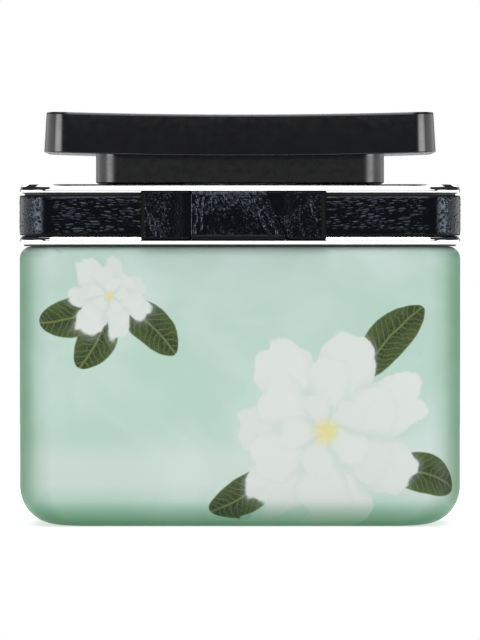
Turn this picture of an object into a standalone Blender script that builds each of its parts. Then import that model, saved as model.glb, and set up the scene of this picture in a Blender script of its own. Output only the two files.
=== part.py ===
"""A rectangular glass perfume bottle with a pull-off cap, built at its real size.

Metres, +Z up. The origin is on the flat base under the middle of the glass, and the front looks along -Y.
"""

import math

import bmesh
import bpy
from mathutils import Vector

MM = 0.001

# Driving dimensions of the whole bottle
BODY_WIDTH = 90.0 * MM
BODY_DEPTH = 36.0 * MM
BODY_CORNER = 6.8 * MM
GLASS_TOP = 57.1 * MM
COLLAR_TOP = 69.7 * MM
CAP_TOP = 84.6 * MM
SEAT_GAP = 0.3 * MM
FINE_GAP = 0.1 * MM

HALF_X = BODY_WIDTH / 2
HALF_Y = BODY_DEPTH / 2

# How finely round shapes are cut
CORNER_STEPS = 7
CAP_SIDE_STEPS = 10
SMALL_ROUND = 16

# Colours as linear red, green, blue, with roughness and metallic
FINISHES = {
    "mint_glass": ((0.47, 0.62, 0.54), 0.30, 0.0),
    "chrome": ((0.80, 0.80, 0.82), 0.08, 1.0),
    "black_leather": ((0.012, 0.014, 0.020), 0.45, 0.0),
    "black_gloss": ((0.012, 0.012, 0.014), 0.15, 0.0),
    "black_plastic": ((0.020, 0.020, 0.022), 0.45, 0.0),
    "aluminium": ((0.70, 0.71, 0.72), 0.30, 1.0),
    "clear_plastic": ((0.75, 0.76, 0.76), 0.35, 0.0),
    "grey_rubber": ((0.25, 0.25, 0.26), 0.60, 0.0),
    "spring_steel": ((0.55, 0.56, 0.58), 0.30, 1.0),
}


def clear_scene():
    for thing in list(bpy.data.objects):
        bpy.data.objects.remove(thing, do_unlink=True)


def finish(name):
    """The named material, made the first time it is asked for."""
    if name in bpy.data.materials:
        return bpy.data.materials[name]
    colour, roughness, metallic = FINISHES[name]
    material = bpy.data.materials.new(name)
    material.use_nodes = True
    shader = material.node_tree.nodes["Principled BSDF"]
    shader.inputs["Base Color"].default_value = (*colour, 1.0)
    shader.inputs["Roughness"].default_value = roughness
    shader.inputs["Metallic"].default_value = metallic
    return material


def smooth(t):
    """0 below 0, 1 above 1, and an even curve between."""
    t = max(0.0, min(1.0, t))
    return t * t * (3 - 2 * t)


# Outlines in a level plane


def rounded_outline(half_x, half_y, corner, side_steps=1):
    """A rounded rectangle, anticlockwise from its left side. Its back half mirrors its front half."""
    straight_x, straight_y = half_x - corner, half_y - corner
    arc = [math.pi / 2 * step / CORNER_STEPS for step in range(CORNER_STEPS + 1)]
    front = [(-straight_x - corner * math.cos(a), -straight_y - corner * math.sin(a)) for a in arc]
    front += [(-straight_x + 2 * straight_x * s / side_steps, -half_y) for s in range(1, side_steps)]
    front += [(straight_x + corner * math.sin(a), -straight_y - corner * math.cos(a)) for a in arc]
    return front + [(x, -y) for x, y in reversed(front)]


def round_outline(radius, count):
    """A circle with as many points as the outline that it is joined to."""
    angles = [math.pi + 2 * math.pi * (step + 0.5) / count for step in range(count)]
    return [(radius * math.cos(a), radius * math.sin(a)) for a in angles]


def at_height(outline, z):
    return [(x, y, z) for x, y in outline]


def turned(profile, count, centre=(0.0, 0.0)):
    """Level circles for a list of (radius, height), one for each."""
    rings = []
    for radius, z in profile:
        circle = round_outline(radius, count)
        rings.append([(centre[0] + x, centre[1] + y, z) for x, y in circle])
    return rings


# Solids from rings


def loft(name, rings, material, closed=False, sharp_angle=35.0):
    """Joins each ring to the next. A closed loft joins its last ring to its first, and an open one is filled
    at both ends by strips between the ring's mirrored points."""
    count = len(rings[0])
    points = [point for ring in rings for point in ring]
    faces = []
    steps = [(low, low + 1) for low in range(len(rings) - 1)]
    if closed:
        steps.append((len(rings) - 1, 0))
    for low, high in steps:
        for i in range(count):
            j = (i + 1) % count
            faces.append((low * count + i, low * count + j, high * count + j, high * count + i))
    if not closed:
        for start in (0, (len(rings) - 1) * count):
            for i in range(count // 2 - 1):
                faces.append((start + i, start + i + 1, start + count - 2 - i, start + count - 1 - i))
    mesh = bpy.data.meshes.new(name)
    mesh.from_pydata([Vector(point) for point in points], [], faces)
    shape = bmesh.new()
    shape.from_mesh(mesh)
    bmesh.ops.recalc_face_normals(shape, faces=shape.faces)
    shape.to_mesh(mesh)
    shape.free()
    mesh.shade_smooth()
    mesh.set_sharp_from_angle(angle=math.radians(sharp_angle))
    mesh.materials.append(finish(material))
    solid = bpy.data.objects.new(name, mesh)
    bpy.context.scene.collection.objects.link(solid)
    return solid


# Glass

FOOT_RADIUS_X = 8.2 * MM
FOOT_RADIUS_Y = 5.0 * MM
SHOULDER_RADIUS = 2.5 * MM
SIDE_WALL = 4.5 * MM
FACE_WALL = 3.4 * MM
BASE_THICKNESS = 6.0 * MM
SHOULDER_THICKNESS = 3.8 * MM
FOOT_STEPS = 6

NECK_RADIUS = 7.9 * MM
NECK_BEAD_RADIUS = 9.0 * MM
NECK_BORE = 5.6 * MM
NECK_TOP = GLASS_TOP + 9.7 * MM
NECK_FILLET = 0.8 * MM
LIP_ROUND = 0.4 * MM


def foot(half_x, half_y, corner, floor, radius_x, radius_y):
    """Rings from a flat floor up to the full outline, with radius_x at the ends, radius_y front and back."""
    rings = []
    for step in range(FOOT_STEPS + 1):
        angle = math.pi / 2 * step / FOOT_STEPS
        rise = radius_x * (1 - math.cos(angle))
        inset_x = radius_x * (1 - math.sin(angle))
        left = max(0.0, radius_y - rise)
        inset_y = radius_y - math.sqrt(radius_y**2 - left**2)
        rings.append(at_height(rounded_outline(half_x - inset_x, half_y - inset_y, corner), floor + rise))
    return rings


def shoulder(half_x, half_y, corner, top, radius, steps=3):
    """Rings from the straight wall over a rounded edge to a flat top."""
    rings = []
    for step in range(steps + 1):
        angle = math.pi / 2 * step / steps
        inset = radius * (1 - math.cos(angle))
        outline = rounded_outline(half_x - inset, half_y - inset, corner - inset * 0.5)
        rings.append(at_height(outline, top - radius + radius * math.sin(angle)))
    return rings


def glass_bottle():
    """One blown piece: a thick-based block outside, a smaller hollow inside, and a crimp neck on top."""
    outside = foot(HALF_X, HALF_Y, BODY_CORNER, 0.0, FOOT_RADIUS_X, FOOT_RADIUS_Y)
    outside += shoulder(HALF_X, HALF_Y, BODY_CORNER, GLASS_TOP, SHOULDER_RADIUS)
    bead_low = NECK_TOP - 3.6 * MM
    neck = turned(
        [
            (NECK_RADIUS + NECK_FILLET, GLASS_TOP),
            (NECK_RADIUS, GLASS_TOP + NECK_FILLET),
            (NECK_RADIUS, bead_low),
            (NECK_BEAD_RADIUS, bead_low + NECK_BEAD_RADIUS - NECK_RADIUS),
            (NECK_BEAD_RADIUS, NECK_TOP - LIP_ROUND),
            (NECK_BEAD_RADIUS - LIP_ROUND, NECK_TOP),
            (NECK_BORE + LIP_ROUND, NECK_TOP),
            (NECK_BORE, NECK_TOP - LIP_ROUND),
            (NECK_BORE, GLASS_TOP - SHOULDER_THICKNESS + NECK_FILLET),
            (NECK_BORE + NECK_FILLET, GLASS_TOP - SHOULDER_THICKNESS),
        ],
        len(outside[0]),
    )
    inner_x, inner_y, inner_corner = HALF_X - SIDE_WALL, HALF_Y - FACE_WALL, 3.8 * MM
    ceiling = GLASS_TOP - SHOULDER_THICKNESS
    inside = shoulder(inner_x, inner_y, inner_corner, ceiling, 2.6 * MM)[::-1]
    inside += foot(inner_x, inner_y, inner_corner, BASE_THICKNESS, 5.5 * MM, 3.2 * MM)[::-1]
    return loft("glass_bottle", outside + neck + inside, "mint_glass")


# Pump under the cap: gasket, housing, spring, piston and stem, dip tube, ferrule and button

GASKET_THICKNESS = 0.6 * MM
STACK_GAP = 0.2 * MM
FLANGE_THICKNESS = 0.7 * MM
GASKET_LOW = NECK_TOP + STACK_GAP
FLANGE_LOW = GASKET_LOW + GASKET_THICKNESS + STACK_GAP
FLANGE_HIGH = FLANGE_LOW + FLANGE_THICKNESS
FERRULE_WALL = 0.4 * MM
FERRULE_TOP = FLANGE_HIGH + STACK_GAP + FERRULE_WALL
FERRULE_RADIUS = 9.9 * MM
STEM_RADIUS = 1.6 * MM
STEM_TOP = 74.6 * MM
CHAMBER_RADIUS = 3.6 * MM
CHAMBER_FLOOR = 56.0 * MM
HOUSING_LID = 1.2 * MM
PISTON_HEIGHT = 2.2 * MM
PISTON_LOW = FLANGE_HIGH - HOUSING_LID - SEAT_GAP - PISTON_HEIGHT
BALL_RADIUS = 1.75 * MM
SOCKET_RADIUS = 1.35 * MM
SOCKET_LOW = 49.5 * MM
TUBE_RADIUS = 1.05 * MM
TUBE_BORE = 0.7 * MM
BUTTON_RADIUS = 6.6 * MM
BUTTON_LOW = 72.0 * MM
BUTTON_HIGH = 80.4 * MM


def neck_gasket():
    profile = [
        (NECK_BORE + LIP_ROUND, GASKET_LOW),
        (NECK_BEAD_RADIUS - LIP_ROUND, GASKET_LOW),
        (NECK_BEAD_RADIUS - LIP_ROUND, GASKET_LOW + GASKET_THICKNESS),
        (NECK_BORE + LIP_ROUND, GASKET_LOW + GASKET_THICKNESS),
    ]
    return loft("neck_gasket", turned(profile, 2 * SMALL_ROUND), "grey_rubber", closed=True)


def pump_housing():
    """Hangs in the neck by its flange. The chamber holds the spring and piston, the tail the dip tube."""
    stem_hole = STEM_RADIUS + SEAT_GAP
    tail_radius, body_radius, flange_radius = 2.1 * MM, 4.9 * MM, 8.6 * MM
    profile = [
        (SOCKET_RADIUS, SOCKET_LOW),
        (tail_radius, SOCKET_LOW),
        (tail_radius, CHAMBER_FLOOR - 2.4 * MM),
        (body_radius, CHAMBER_FLOOR - 1.0 * MM),
        (body_radius, FLANGE_LOW),
        (flange_radius, FLANGE_LOW),
        (flange_radius, FLANGE_HIGH),
        (stem_hole, FLANGE_HIGH),
        (stem_hole, FLANGE_HIGH - HOUSING_LID),
        (CHAMBER_RADIUS, FLANGE_HIGH - HOUSING_LID),
        (CHAMBER_RADIUS, CHAMBER_FLOOR),
        (SOCKET_RADIUS, CHAMBER_FLOOR),
    ]
    return loft("pump_housing", turned(profile, 24), "clear_plastic", closed=True)


def pump_spring():
    """A compression spring between the chamber's floor and the piston."""
    turns, steps_per_turn, wire_sides = 5, 12, 6
    coil_radius, wire_radius = 2.4 * MM, 0.3 * MM
    low = CHAMBER_FLOOR + SEAT_GAP + wire_radius
    high = PISTON_LOW - SEAT_GAP - wire_radius
    rings = []
    for step in range(turns * steps_per_turn + 1):
        share = step / (turns * steps_per_turn)
        angle = 2 * math.pi * turns * share
        outward = Vector((math.cos(angle), math.sin(angle), 0.0))
        centre = outward * coil_radius + Vector((0.0, 0.0, low + (high - low) * share))
        ring = []
        for side in range(wire_sides):
            turn = 2 * math.pi * (side + 0.5) / wire_sides
            ring.append(centre + wire_radius * (outward * math.cos(turn) + Vector((0, 0, math.sin(turn)))))
        rings.append(ring)
    return loft("pump_spring", rings, "spring_steel")


def valve_ball():
    """The ball that lies loose on the chamber's inlet, inside the spring, and lets liquid up but not down."""
    sink = math.sqrt(BALL_RADIUS**2 - SOCKET_RADIUS**2)
    centre_z = CHAMBER_FLOOR + sink + FINE_GAP
    rows = 8
    angles = [math.pi * (row / rows - 0.5) for row in range(1, rows)]
    profile = [(BALL_RADIUS * math.cos(a), centre_z + BALL_RADIUS * math.sin(a)) for a in angles]
    return loft("valve_ball", turned(profile, SMALL_ROUND), "spring_steel", sharp_angle=60.0)


def piston_stem():
    """The piston in the chamber and the hollow stem that the button sits on."""
    bore, piston_radius = 0.5 * MM, CHAMBER_RADIUS - SEAT_GAP
    profile = [
        (bore, PISTON_LOW),
        (piston_radius, PISTON_LOW),
        (piston_radius, PISTON_LOW + PISTON_HEIGHT),
        (STEM_RADIUS, PISTON_LOW + PISTON_HEIGHT),
        (STEM_RADIUS, STEM_TOP),
        (bore, STEM_TOP),
    ]
    return loft("piston_stem", turned(profile, SMALL_ROUND), "clear_plastic", closed=True)


def dip_tube():
    """A thin hose from the housing's tail to just above the floor, bent towards one end of the bottle."""
    top, bottom, reach, sides, steps = 54.0 * MM, 7.4 * MM, 10.0 * MM, 8, 14
    outer, inner = [], []
    for step in range(steps + 1):
        z = top + (bottom - top) * step / steps
        below_tail = max(0.0, SOCKET_LOW - z) / (SOCKET_LOW - bottom)
        centre_x = reach * below_tail**2
        slope = math.atan2(2 * reach * below_tail, SOCKET_LOW - bottom)
        across = Vector((math.cos(slope), 0.0, math.sin(slope)))
        for radius, rings in ((TUBE_RADIUS, outer), (TUBE_BORE, inner)):
            ring = []
            for side in range(sides):
                turn = 2 * math.pi * (side + 0.5) / sides
                offset = across * math.cos(turn) + Vector((0.0, math.sin(turn), 0.0))
                ring.append(Vector((centre_x, 0.0, z)) + radius * offset)
            rings.append(ring)
    return loft("dip_tube", outer + inner[::-1], "clear_plastic", closed=True)


def ferrule():
    """The thin metal cup crimped under the neck's bead, which clamps housing and gasket down."""
    crimp_radius = NECK_RADIUS + 0.85 * MM
    crimp_low, crimp_high, wide_low = 61.2 * MM, 62.3 * MM, 63.4 * MM
    stem_hole = STEM_RADIUS + 1.0 * MM
    profile = [
        (crimp_radius, crimp_low),
        (crimp_radius, crimp_high),
        (FERRULE_RADIUS, wide_low),
        (FERRULE_RADIUS, FERRULE_TOP - LIP_ROUND),
        (FERRULE_RADIUS - LIP_ROUND, FERRULE_TOP),
        (stem_hole, FERRULE_TOP),
        (stem_hole, FERRULE_TOP - FERRULE_WALL),
        (FERRULE_RADIUS - FERRULE_WALL, FERRULE_TOP - FERRULE_WALL),
        (FERRULE_RADIUS - FERRULE_WALL, wide_low),
        (crimp_radius - FERRULE_WALL, crimp_high),
        (crimp_radius - FERRULE_WALL, crimp_low),
    ]
    return loft("ferrule", turned(profile, 2 * SMALL_ROUND), "aluminium", closed=True)


NOZZLE_Z = 77.4 * MM
NOZZLE_HOLE = 1.6 * MM
NOZZLE_DEPTH = 1.6 * MM


def spray_button():
    """The finger button, with a socket for the stem below and a round recess for the nozzle in front."""
    socket = STEM_RADIUS + SEAT_GAP
    skirt_inner, recess_top = BUTTON_RADIUS - 1.0 * MM, BUTTON_LOW + 1.4 * MM
    dish_radius, dish_depth = 4.8 * MM, 0.3 * MM
    profile = [
        (socket, STEM_TOP + SEAT_GAP),
        (socket, recess_top),
        (skirt_inner, recess_top),
        (skirt_inner, BUTTON_LOW),
        (BUTTON_RADIUS, BUTTON_LOW),
        (BUTTON_RADIUS, BUTTON_HIGH - 0.5 * MM),
        (BUTTON_RADIUS - 0.5 * MM, BUTTON_HIGH),
        (BUTTON_RADIUS - 1.0 * MM, BUTTON_HIGH),
        (dish_radius, BUTTON_HIGH - dish_depth),
    ]
    button = loft("spray_button", turned(profile, 2 * SMALL_ROUND), "aluminium")
    cutter_profile = [(NOZZLE_HOLE, -NOZZLE_DEPTH), (NOZZLE_HOLE, NOZZLE_DEPTH)]
    cutter = loft("nozzle_cutter", turned(cutter_profile, SMALL_ROUND), "aluminium")
    face_forward(cutter)
    cutter.hide_render = True
    cutter.display_type = "WIRE"
    cut = button.modifiers.new("nozzle", "BOOLEAN")
    cut.operation = "DIFFERENCE"
    cut.solver = "EXACT"
    cut.object = cutter
    return button


def face_forward(piece):
    """Turns a piece made along +Z to look along -Y from the button's front, at the nozzle's height."""
    piece.rotation_euler = (math.radians(90), 0.0, 0.0)
    piece.location = (0.0, -BUTTON_RADIUS, NOZZLE_Z)


def nozzle_insert():
    """The small pressed-in disc with the spray hole and a dished face."""
    radius, dish_radius, hole = NOZZLE_HOLE - SEAT_GAP, 0.8 * MM, 0.25 * MM
    back, front, dish = -NOZZLE_DEPTH + SEAT_GAP, -0.2 * MM, -0.5 * MM
    profile = [(hole, back), (radius, back), (radius, front), (dish_radius, front), (hole, dish)]
    insert = loft("nozzle_insert", turned(profile, SMALL_ROUND), "clear_plastic", closed=True)
    face_forward(insert)
    return insert


# Collar with its chrome rims and the leather channel between them

COLLAR_LOW = GLASS_TOP + SEAT_GAP
RIM_HEIGHT = 1.8 * MM
# A rim's face as (inset, height) in mm: a bevel up to the ridge, a bevel back from it, and a rounded top
RIM_FACE = [
    (0.60, 0.00), (0.44, 0.06), (0.05, 0.70), (0.00, 0.78),
    (0.03, 0.86), (0.25, 1.40), (0.42, 1.66), (0.66, 1.80),
]
CHANNEL_DEPTH = 1.0 * MM
COLLAR_WALL_INSET = 2.6 * MM
COLLAR_PLATE = 1.5 * MM
SLEEVE_BORE = 11.8 * MM
SLEEVE_RADIUS = 13.0 * MM


def rim_profile(low):
    """(inset, height) up a rim's double-bevelled face."""
    return [(inset * MM, low + height * MM) for inset, height in RIM_FACE]


def inset_ring(inset, z):
    return at_height(rounded_outline(HALF_X - inset, HALF_Y - inset, BODY_CORNER - inset), z)


def collar():
    """A plated ring on the shoulder: two rims, a flat top, and a sleeve that the cap's insert slides into."""
    lower = rim_profile(COLLAR_LOW)
    upper = rim_profile(COLLAR_TOP - RIM_HEIGHT)
    channel = [(CHANNEL_DEPTH, lower[-1][1]), (CHANNEL_DEPTH, upper[0][1])]
    rings = [inset_ring(inset, z) for inset, z in lower + channel + upper]
    plate_low = COLLAR_TOP - COLLAR_PLATE
    sleeve = [
        (SLEEVE_BORE + 0.3 * MM, COLLAR_TOP),
        (SLEEVE_BORE, COLLAR_TOP - 0.3 * MM),
        (SLEEVE_BORE, COLLAR_LOW),
        (SLEEVE_RADIUS, COLLAR_LOW),
        (SLEEVE_RADIUS, plate_low),
    ]
    rings += turned(sleeve, len(rings[0]))
    rings += [inset_ring(COLLAR_WALL_INSET, plate_low), inset_ring(COLLAR_WALL_INSET, COLLAR_LOW)]
    return loft("collar", rings, "chrome", closed=True)


# Leather strap, bow and knot

STRAP_LOW = COLLAR_LOW + RIM_HEIGHT + FINE_GAP
STRAP_HIGH = COLLAR_TOP - RIM_HEIGHT - FINE_GAP
STRAP_PROUD = 0.2 * MM
STRAP_FLOOR_GAP = 0.2 * MM
STRAP_ROUND = 0.25 * MM

BOW_CENTRE_X = -1.3 * MM
BOW_CENTRE_Z = 63.5 * MM
BOW_LEATHER = 0.7 * MM
BOW_HALF_WIDTH = 18.9 * MM
BOW_HALF_HEIGHT = 4.9 * MM
BOW_WAIST_HALF_HEIGHT = 4.0 * MM
KNOT_HALF_WIDTH = 8.6 * MM
KNOT_LEATHER = 0.6 * MM
KNOT_HALF_HEIGHT = 4.85 * MM
KNOT_CROWN = 0.4 * MM
LAYER_GAP = 0.2 * MM
BOW_BULGE = 0.8 * MM
BOW_DROOP = 0.3 * MM


def strap():
    """The leather band in the collar's channel, all the way round."""
    out, back = -STRAP_PROUD, CHANNEL_DEPTH - STRAP_FLOOR_GAP
    profile = [
        (back, STRAP_LOW),
        (out + STRAP_ROUND, STRAP_LOW),
        (out, STRAP_LOW + STRAP_ROUND),
        (out, STRAP_HIGH - STRAP_ROUND),
        (out + STRAP_ROUND, STRAP_HIGH),
        (back, STRAP_HIGH),
    ]
    return loft("strap", [inset_ring(inset, z) for inset, z in profile], "black_leather", closed=True)


def knot_back():
    """How far in front of the strap the knot's own back layer ends."""
    return LAYER_GAP + KNOT_LEATHER


def bow_layer(u, front):
    """Distance of a bow layer's middle in front of the strap, at distance u from the bow's centre."""
    away = smooth((abs(u) - KNOT_HALF_WIDTH) / (5.0 * MM))
    waist_back = knot_back() + LAYER_GAP + BOW_LEATHER / 2
    if not front:
        return waist_back + (LAYER_GAP + BOW_LEATHER / 2 - waist_back) * away
    waist_front = waist_back + BOW_LEATHER + LAYER_GAP
    droop = BOW_DROOP * smooth((abs(u) - 14.0 * MM) / (4.5 * MM))
    return waist_front + BOW_BULGE * away - droop


def bow_path():
    """The middle of the bow's leather seen from above, as (u, distance in front of the strap), once round."""
    fold_u = BOW_HALF_WIDTH - 1.7 * MM
    across_steps, fold_steps = 20, 6
    middle = (bow_layer(fold_u, True) + bow_layer(fold_u, False)) / 2
    rise = (bow_layer(fold_u, True) - bow_layer(fold_u, False)) / 2
    bulge = BOW_HALF_WIDTH - BOW_LEATHER / 2 - fold_u
    path = []
    for side in (1, -1):
        front = side < 0
        for step in range(across_steps + 1):
            u = side * fold_u * (2 * step / across_steps - 1)
            path.append((u, bow_layer(u, front)))
        for step in range(1, fold_steps):
            angle = math.pi * step / fold_steps
            fold_x = side * (fold_u + bulge * math.sin(angle))
            path.append((fold_x, middle - side * rise * math.cos(angle)))
    return path


def bow_point(u, forward, z):
    return (BOW_CENTRE_X + u, -HALF_Y - STRAP_PROUD - forward, z)


def bow_loops():
    """One band of leather folded back at both ends, narrower where the knot holds it."""
    path = bow_path()
    count = len(path)
    rings = []
    for side, rise in ((1, -1), (1, 1), (-1, 1), (-1, -1)):
        ring = []
        for i, (u, forward) in enumerate(path):
            ahead, behind = path[(i + 1) % count], path[i - 1]
            along = Vector((ahead[0] - behind[0], ahead[1] - behind[1])).normalized()
            outward = Vector((along.y, -along.x)) * side * BOW_LEATHER / 2
            spread = smooth((abs(u) - KNOT_HALF_WIDTH + 0.2 * MM) / (1.0 * MM))
            half = BOW_WAIST_HALF_HEIGHT + (BOW_HALF_HEIGHT - BOW_WAIST_HALF_HEIGHT) * spread
            ring.append(bow_point(u + outward.x, forward + outward.y, BOW_CENTRE_Z + rise * half))
        rings.append(ring)
    return loft("bow_loops", rings, "black_leather", closed=True)


def bow_knot():
    """A short band wrapped round the bow's middle, over both layers."""
    waist_front = bow_layer(0.0, True) + BOW_LEATHER / 2
    inner_front = waist_front + LAYER_GAP
    inner_back = knot_back()
    centre = (inner_front + inner_back) / 2
    inner_half = (inner_front - inner_back) / 2
    stations = 8
    outer_rings, inner_rings = [], []
    for grow, corner, rings in ((KNOT_LEATHER, 0.8 * MM, outer_rings), (0.0, 0.4 * MM, inner_rings)):
        half_height = KNOT_HALF_HEIGHT - KNOT_LEATHER + grow
        outline = rounded_outline(half_height, inner_half + grow, corner, side_steps=6)
        for station in range(stations + 1):
            u = KNOT_HALF_WIDTH * (2 * station / stations - 1)
            ring = []
            for rise, forward in outline:
                lift = KNOT_CROWN * (1 - (u / KNOT_HALF_WIDTH) ** 2) * (1 - (rise / half_height) ** 2)
                lift *= smooth(forward / inner_half)
                ring.append(bow_point(u, centre + forward + lift, BOW_CENTRE_Z + rise))
            rings.append(ring)
    return loft("bow_knot", outer_rings + inner_rings[::-1], "black_leather", closed=True)


# Cap: a wide plate on a narrower skirt, with the insert that grips the ferrule

CAP_MOUTH = COLLAR_TOP + SEAT_GAP
SKIRT_HALF_X = 29.5 * MM
SKIRT_HALF_Y = 13.4 * MM
SKIRT_WALL = 1.6 * MM
CAP_CORNER = 5.2 * MM
PLATE_HALF_X = 40.0 * MM
PLATE_HALF_Y = 15.8 * MM
PLATE_DRAFT = 0.45 * MM
PLATE_LOW = 75.55 * MM
PLATE_SAG_LOW = 0.70 * MM
PLATE_SAG_TOP = 0.65 * MM
PLATE_ROUND = 0.5 * MM
CAP_CEILING = 81.9 * MM


def plate_low(x):
    return PLATE_LOW + PLATE_SAG_LOW * (x / PLATE_HALF_X) ** 2


def plate_top(x):
    return CAP_TOP - PLATE_SAG_TOP * (1 - (x / PLATE_HALF_X) ** 2)


def cap_outline(half_x, half_y, corner):
    return rounded_outline(half_x, half_y, corner, CAP_SIDE_STEPS)


def cap():
    """The plate dips towards its middle, above and below, and its sides lean in a little towards the top."""
    inner = cap_outline(SKIRT_HALF_X - SKIRT_WALL, SKIRT_HALF_Y - SKIRT_WALL, CAP_CORNER - SKIRT_WALL)
    skirt = cap_outline(SKIRT_HALF_X, SKIRT_HALF_Y, CAP_CORNER)
    rings = [at_height(inner, CAP_CEILING), at_height(inner, CAP_MOUTH), at_height(skirt, CAP_MOUTH)]
    rings.append([(x, y, plate_low(x)) for x, y in skirt])
    for inset, rise in ((0.25 * MM, 0.0), (0.0, 0.25 * MM)):
        edge = cap_outline(PLATE_HALF_X - inset, PLATE_HALF_Y - inset, CAP_CORNER - inset)
        rings.append([(x, y, plate_low(x) + rise) for x, y in edge])
    for step in range(4):
        angle = math.pi / 2 * step / 3
        inset = PLATE_DRAFT + PLATE_ROUND * (1 - math.cos(angle))
        drop = PLATE_ROUND * (1 - math.sin(angle))
        edge = cap_outline(PLATE_HALF_X - inset, PLATE_HALF_Y - inset, CAP_CORNER - inset)
        rings.append([(x, y, plate_top(x) - drop) for x, y in edge])
    return loft("cap", rings, "black_gloss")


def cap_insert():
    """A sleeve glued by its flange under the cap's ceiling. It slides between ferrule and collar."""
    bore, radius, bottom = 10.2 * MM, SLEEVE_BORE - SEAT_GAP, 61.5 * MM
    flange_low, flange_high = 80.4 * MM, CAP_CEILING - SEAT_GAP
    flange = rounded_outline(20.0 * MM, 11.45 * MM, 4.0 * MM)
    count = len(flange)
    rings = turned([(bore, bottom), (radius, bottom), (radius, flange_low)], count)
    rings += [at_height(flange, flange_low), at_height(flange, flange_high)]
    rings += turned([(bore, flange_high)], count)
    return loft("cap_insert", rings, "black_plastic", closed=True)


clear_scene()
glass_bottle()
neck_gasket()
pump_housing()
pump_spring()
valve_ball()
piston_stem()
dip_tube()
ferrule()
spray_button()
nozzle_insert()
collar()
strap()
bow_loops()
bow_knot()
cap()
cap_insert()
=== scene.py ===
# %% [markdown]
# # A perfume bottle with a leather bow
# The solids of a small glass perfume bottle come first: a printed glass block, a chrome collar with a
# leather strap and bow, and a wide black cap over a spray pump. This lesson gives them their looks. Shapes
# that need finer detail are rebuilt in their own place, and the rest keep their solids and get a finish.

# %% Load the solids
import math

import bpy
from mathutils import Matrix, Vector, noise


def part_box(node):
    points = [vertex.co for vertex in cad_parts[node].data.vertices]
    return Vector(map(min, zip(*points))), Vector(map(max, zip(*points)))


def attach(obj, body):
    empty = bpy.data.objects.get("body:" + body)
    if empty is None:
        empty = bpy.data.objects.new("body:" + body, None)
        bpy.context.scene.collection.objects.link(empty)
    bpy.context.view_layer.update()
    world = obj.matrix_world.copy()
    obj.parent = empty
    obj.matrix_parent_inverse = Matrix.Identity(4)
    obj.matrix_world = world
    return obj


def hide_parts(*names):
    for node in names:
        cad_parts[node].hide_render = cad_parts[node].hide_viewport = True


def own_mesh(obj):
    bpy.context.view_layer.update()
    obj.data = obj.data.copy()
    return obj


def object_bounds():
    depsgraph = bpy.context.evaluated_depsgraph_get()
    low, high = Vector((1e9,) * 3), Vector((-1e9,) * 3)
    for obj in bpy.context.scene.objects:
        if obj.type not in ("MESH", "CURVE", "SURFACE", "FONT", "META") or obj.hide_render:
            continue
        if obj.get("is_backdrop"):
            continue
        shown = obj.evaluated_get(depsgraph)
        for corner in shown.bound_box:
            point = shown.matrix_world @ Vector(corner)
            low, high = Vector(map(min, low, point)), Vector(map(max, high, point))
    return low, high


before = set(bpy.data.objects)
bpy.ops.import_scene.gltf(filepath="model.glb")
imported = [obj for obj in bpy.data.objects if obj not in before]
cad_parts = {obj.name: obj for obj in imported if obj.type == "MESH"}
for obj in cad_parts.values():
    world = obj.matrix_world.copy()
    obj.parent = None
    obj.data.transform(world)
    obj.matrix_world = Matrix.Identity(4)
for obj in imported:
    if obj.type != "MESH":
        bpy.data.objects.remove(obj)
cad_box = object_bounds()
print("solids:", ", ".join(sorted(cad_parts)))

# %% [markdown]
# ## Sizes
# Every size starts from the solids, so nothing has to be fitted later. Each solid's box gives where a piece
# begins and ends, and the few sizes that a box can't tell, such as corner radii, are named here.

# %% Sizes from the solids
MM = 0.001
_, glass_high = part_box("glass_bottle")
collar_low, collar_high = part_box("collar")
strap_low, strap_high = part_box("strap")
loops_low, loops_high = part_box("bow_loops")
knot_low, knot_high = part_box("bow_knot")
cap_low, cap_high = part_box("cap")

HALF_X = glass_high.x
HALF_Y = glass_high.y
BODY_CORNER = 6.8 * MM
SEAT_GAP = 0.3 * MM
GLASS_TOP = collar_low.z - SEAT_GAP
STRAP_FRONT = strap_low.y
print(f"glass {2000 * HALF_X:.1f} mm wide, {2000 * HALF_Y:.1f} mm deep, {1000 * GLASS_TOP:.1f} mm high")

# %% [markdown]
# ## Camera
# A product picture like this is taken from the front, level with the bottle, with a long lens from about a
# metre away, so upright edges stay upright. The lens length follows from the width that has to fill the
# picture: 90 mm of glass across 440 of 480 pixels.

# %% Camera
PICTURE_WIDTH_PX = 480
GLASS_WIDTH_PX = 440.3
PICTURE_CENTRE_PX = 320
BASE_LINE_PX = 526.1
CAMERA_DISTANCE = 1.0
CAMERA_RISE = math.radians(0.9)
SENSOR_WIDTH = 36.0

mm_per_px = 2 * HALF_X / GLASS_WIDTH_PX
aim = Vector((0.0, -HALF_Y, (BASE_LINE_PX - PICTURE_CENTRE_PX) * mm_per_px))
back_off = Vector((0.0, -math.cos(CAMERA_RISE), math.sin(CAMERA_RISE))) * CAMERA_DISTANCE
camera_data = bpy.data.cameras.new("camera")
camera_data.sensor_fit = "HORIZONTAL"
camera_data.sensor_width = SENSOR_WIDTH
widest_distance = CAMERA_DISTANCE + BODY_CORNER
camera_data.lens = SENSOR_WIDTH * widest_distance / (PICTURE_WIDTH_PX * mm_per_px)
camera = bpy.data.objects.new("camera", camera_data)
camera.location = aim + back_off
camera.rotation_euler = (-back_off).to_track_quat("-Z", "Y").to_euler()
bpy.context.scene.collection.objects.link(camera)
bpy.context.scene.camera = camera
bpy.context.scene.view_settings.view_transform = "Standard"
print(f"lens {camera_data.lens:.0f} mm at {CAMERA_DISTANCE} m")

# %% [markdown]
# ## Building nodes in code
# A material is a small graph. Three helpers keep the graphs readable: one adds a node and fills its sockets,
# one does a sum, and one starts a node group with named sockets. A group is worth making for an effect that
# several materials share, because it is drawn once and gets its own values in each.

# %% Node helpers
NODES_PER_ROW = 10


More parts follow.
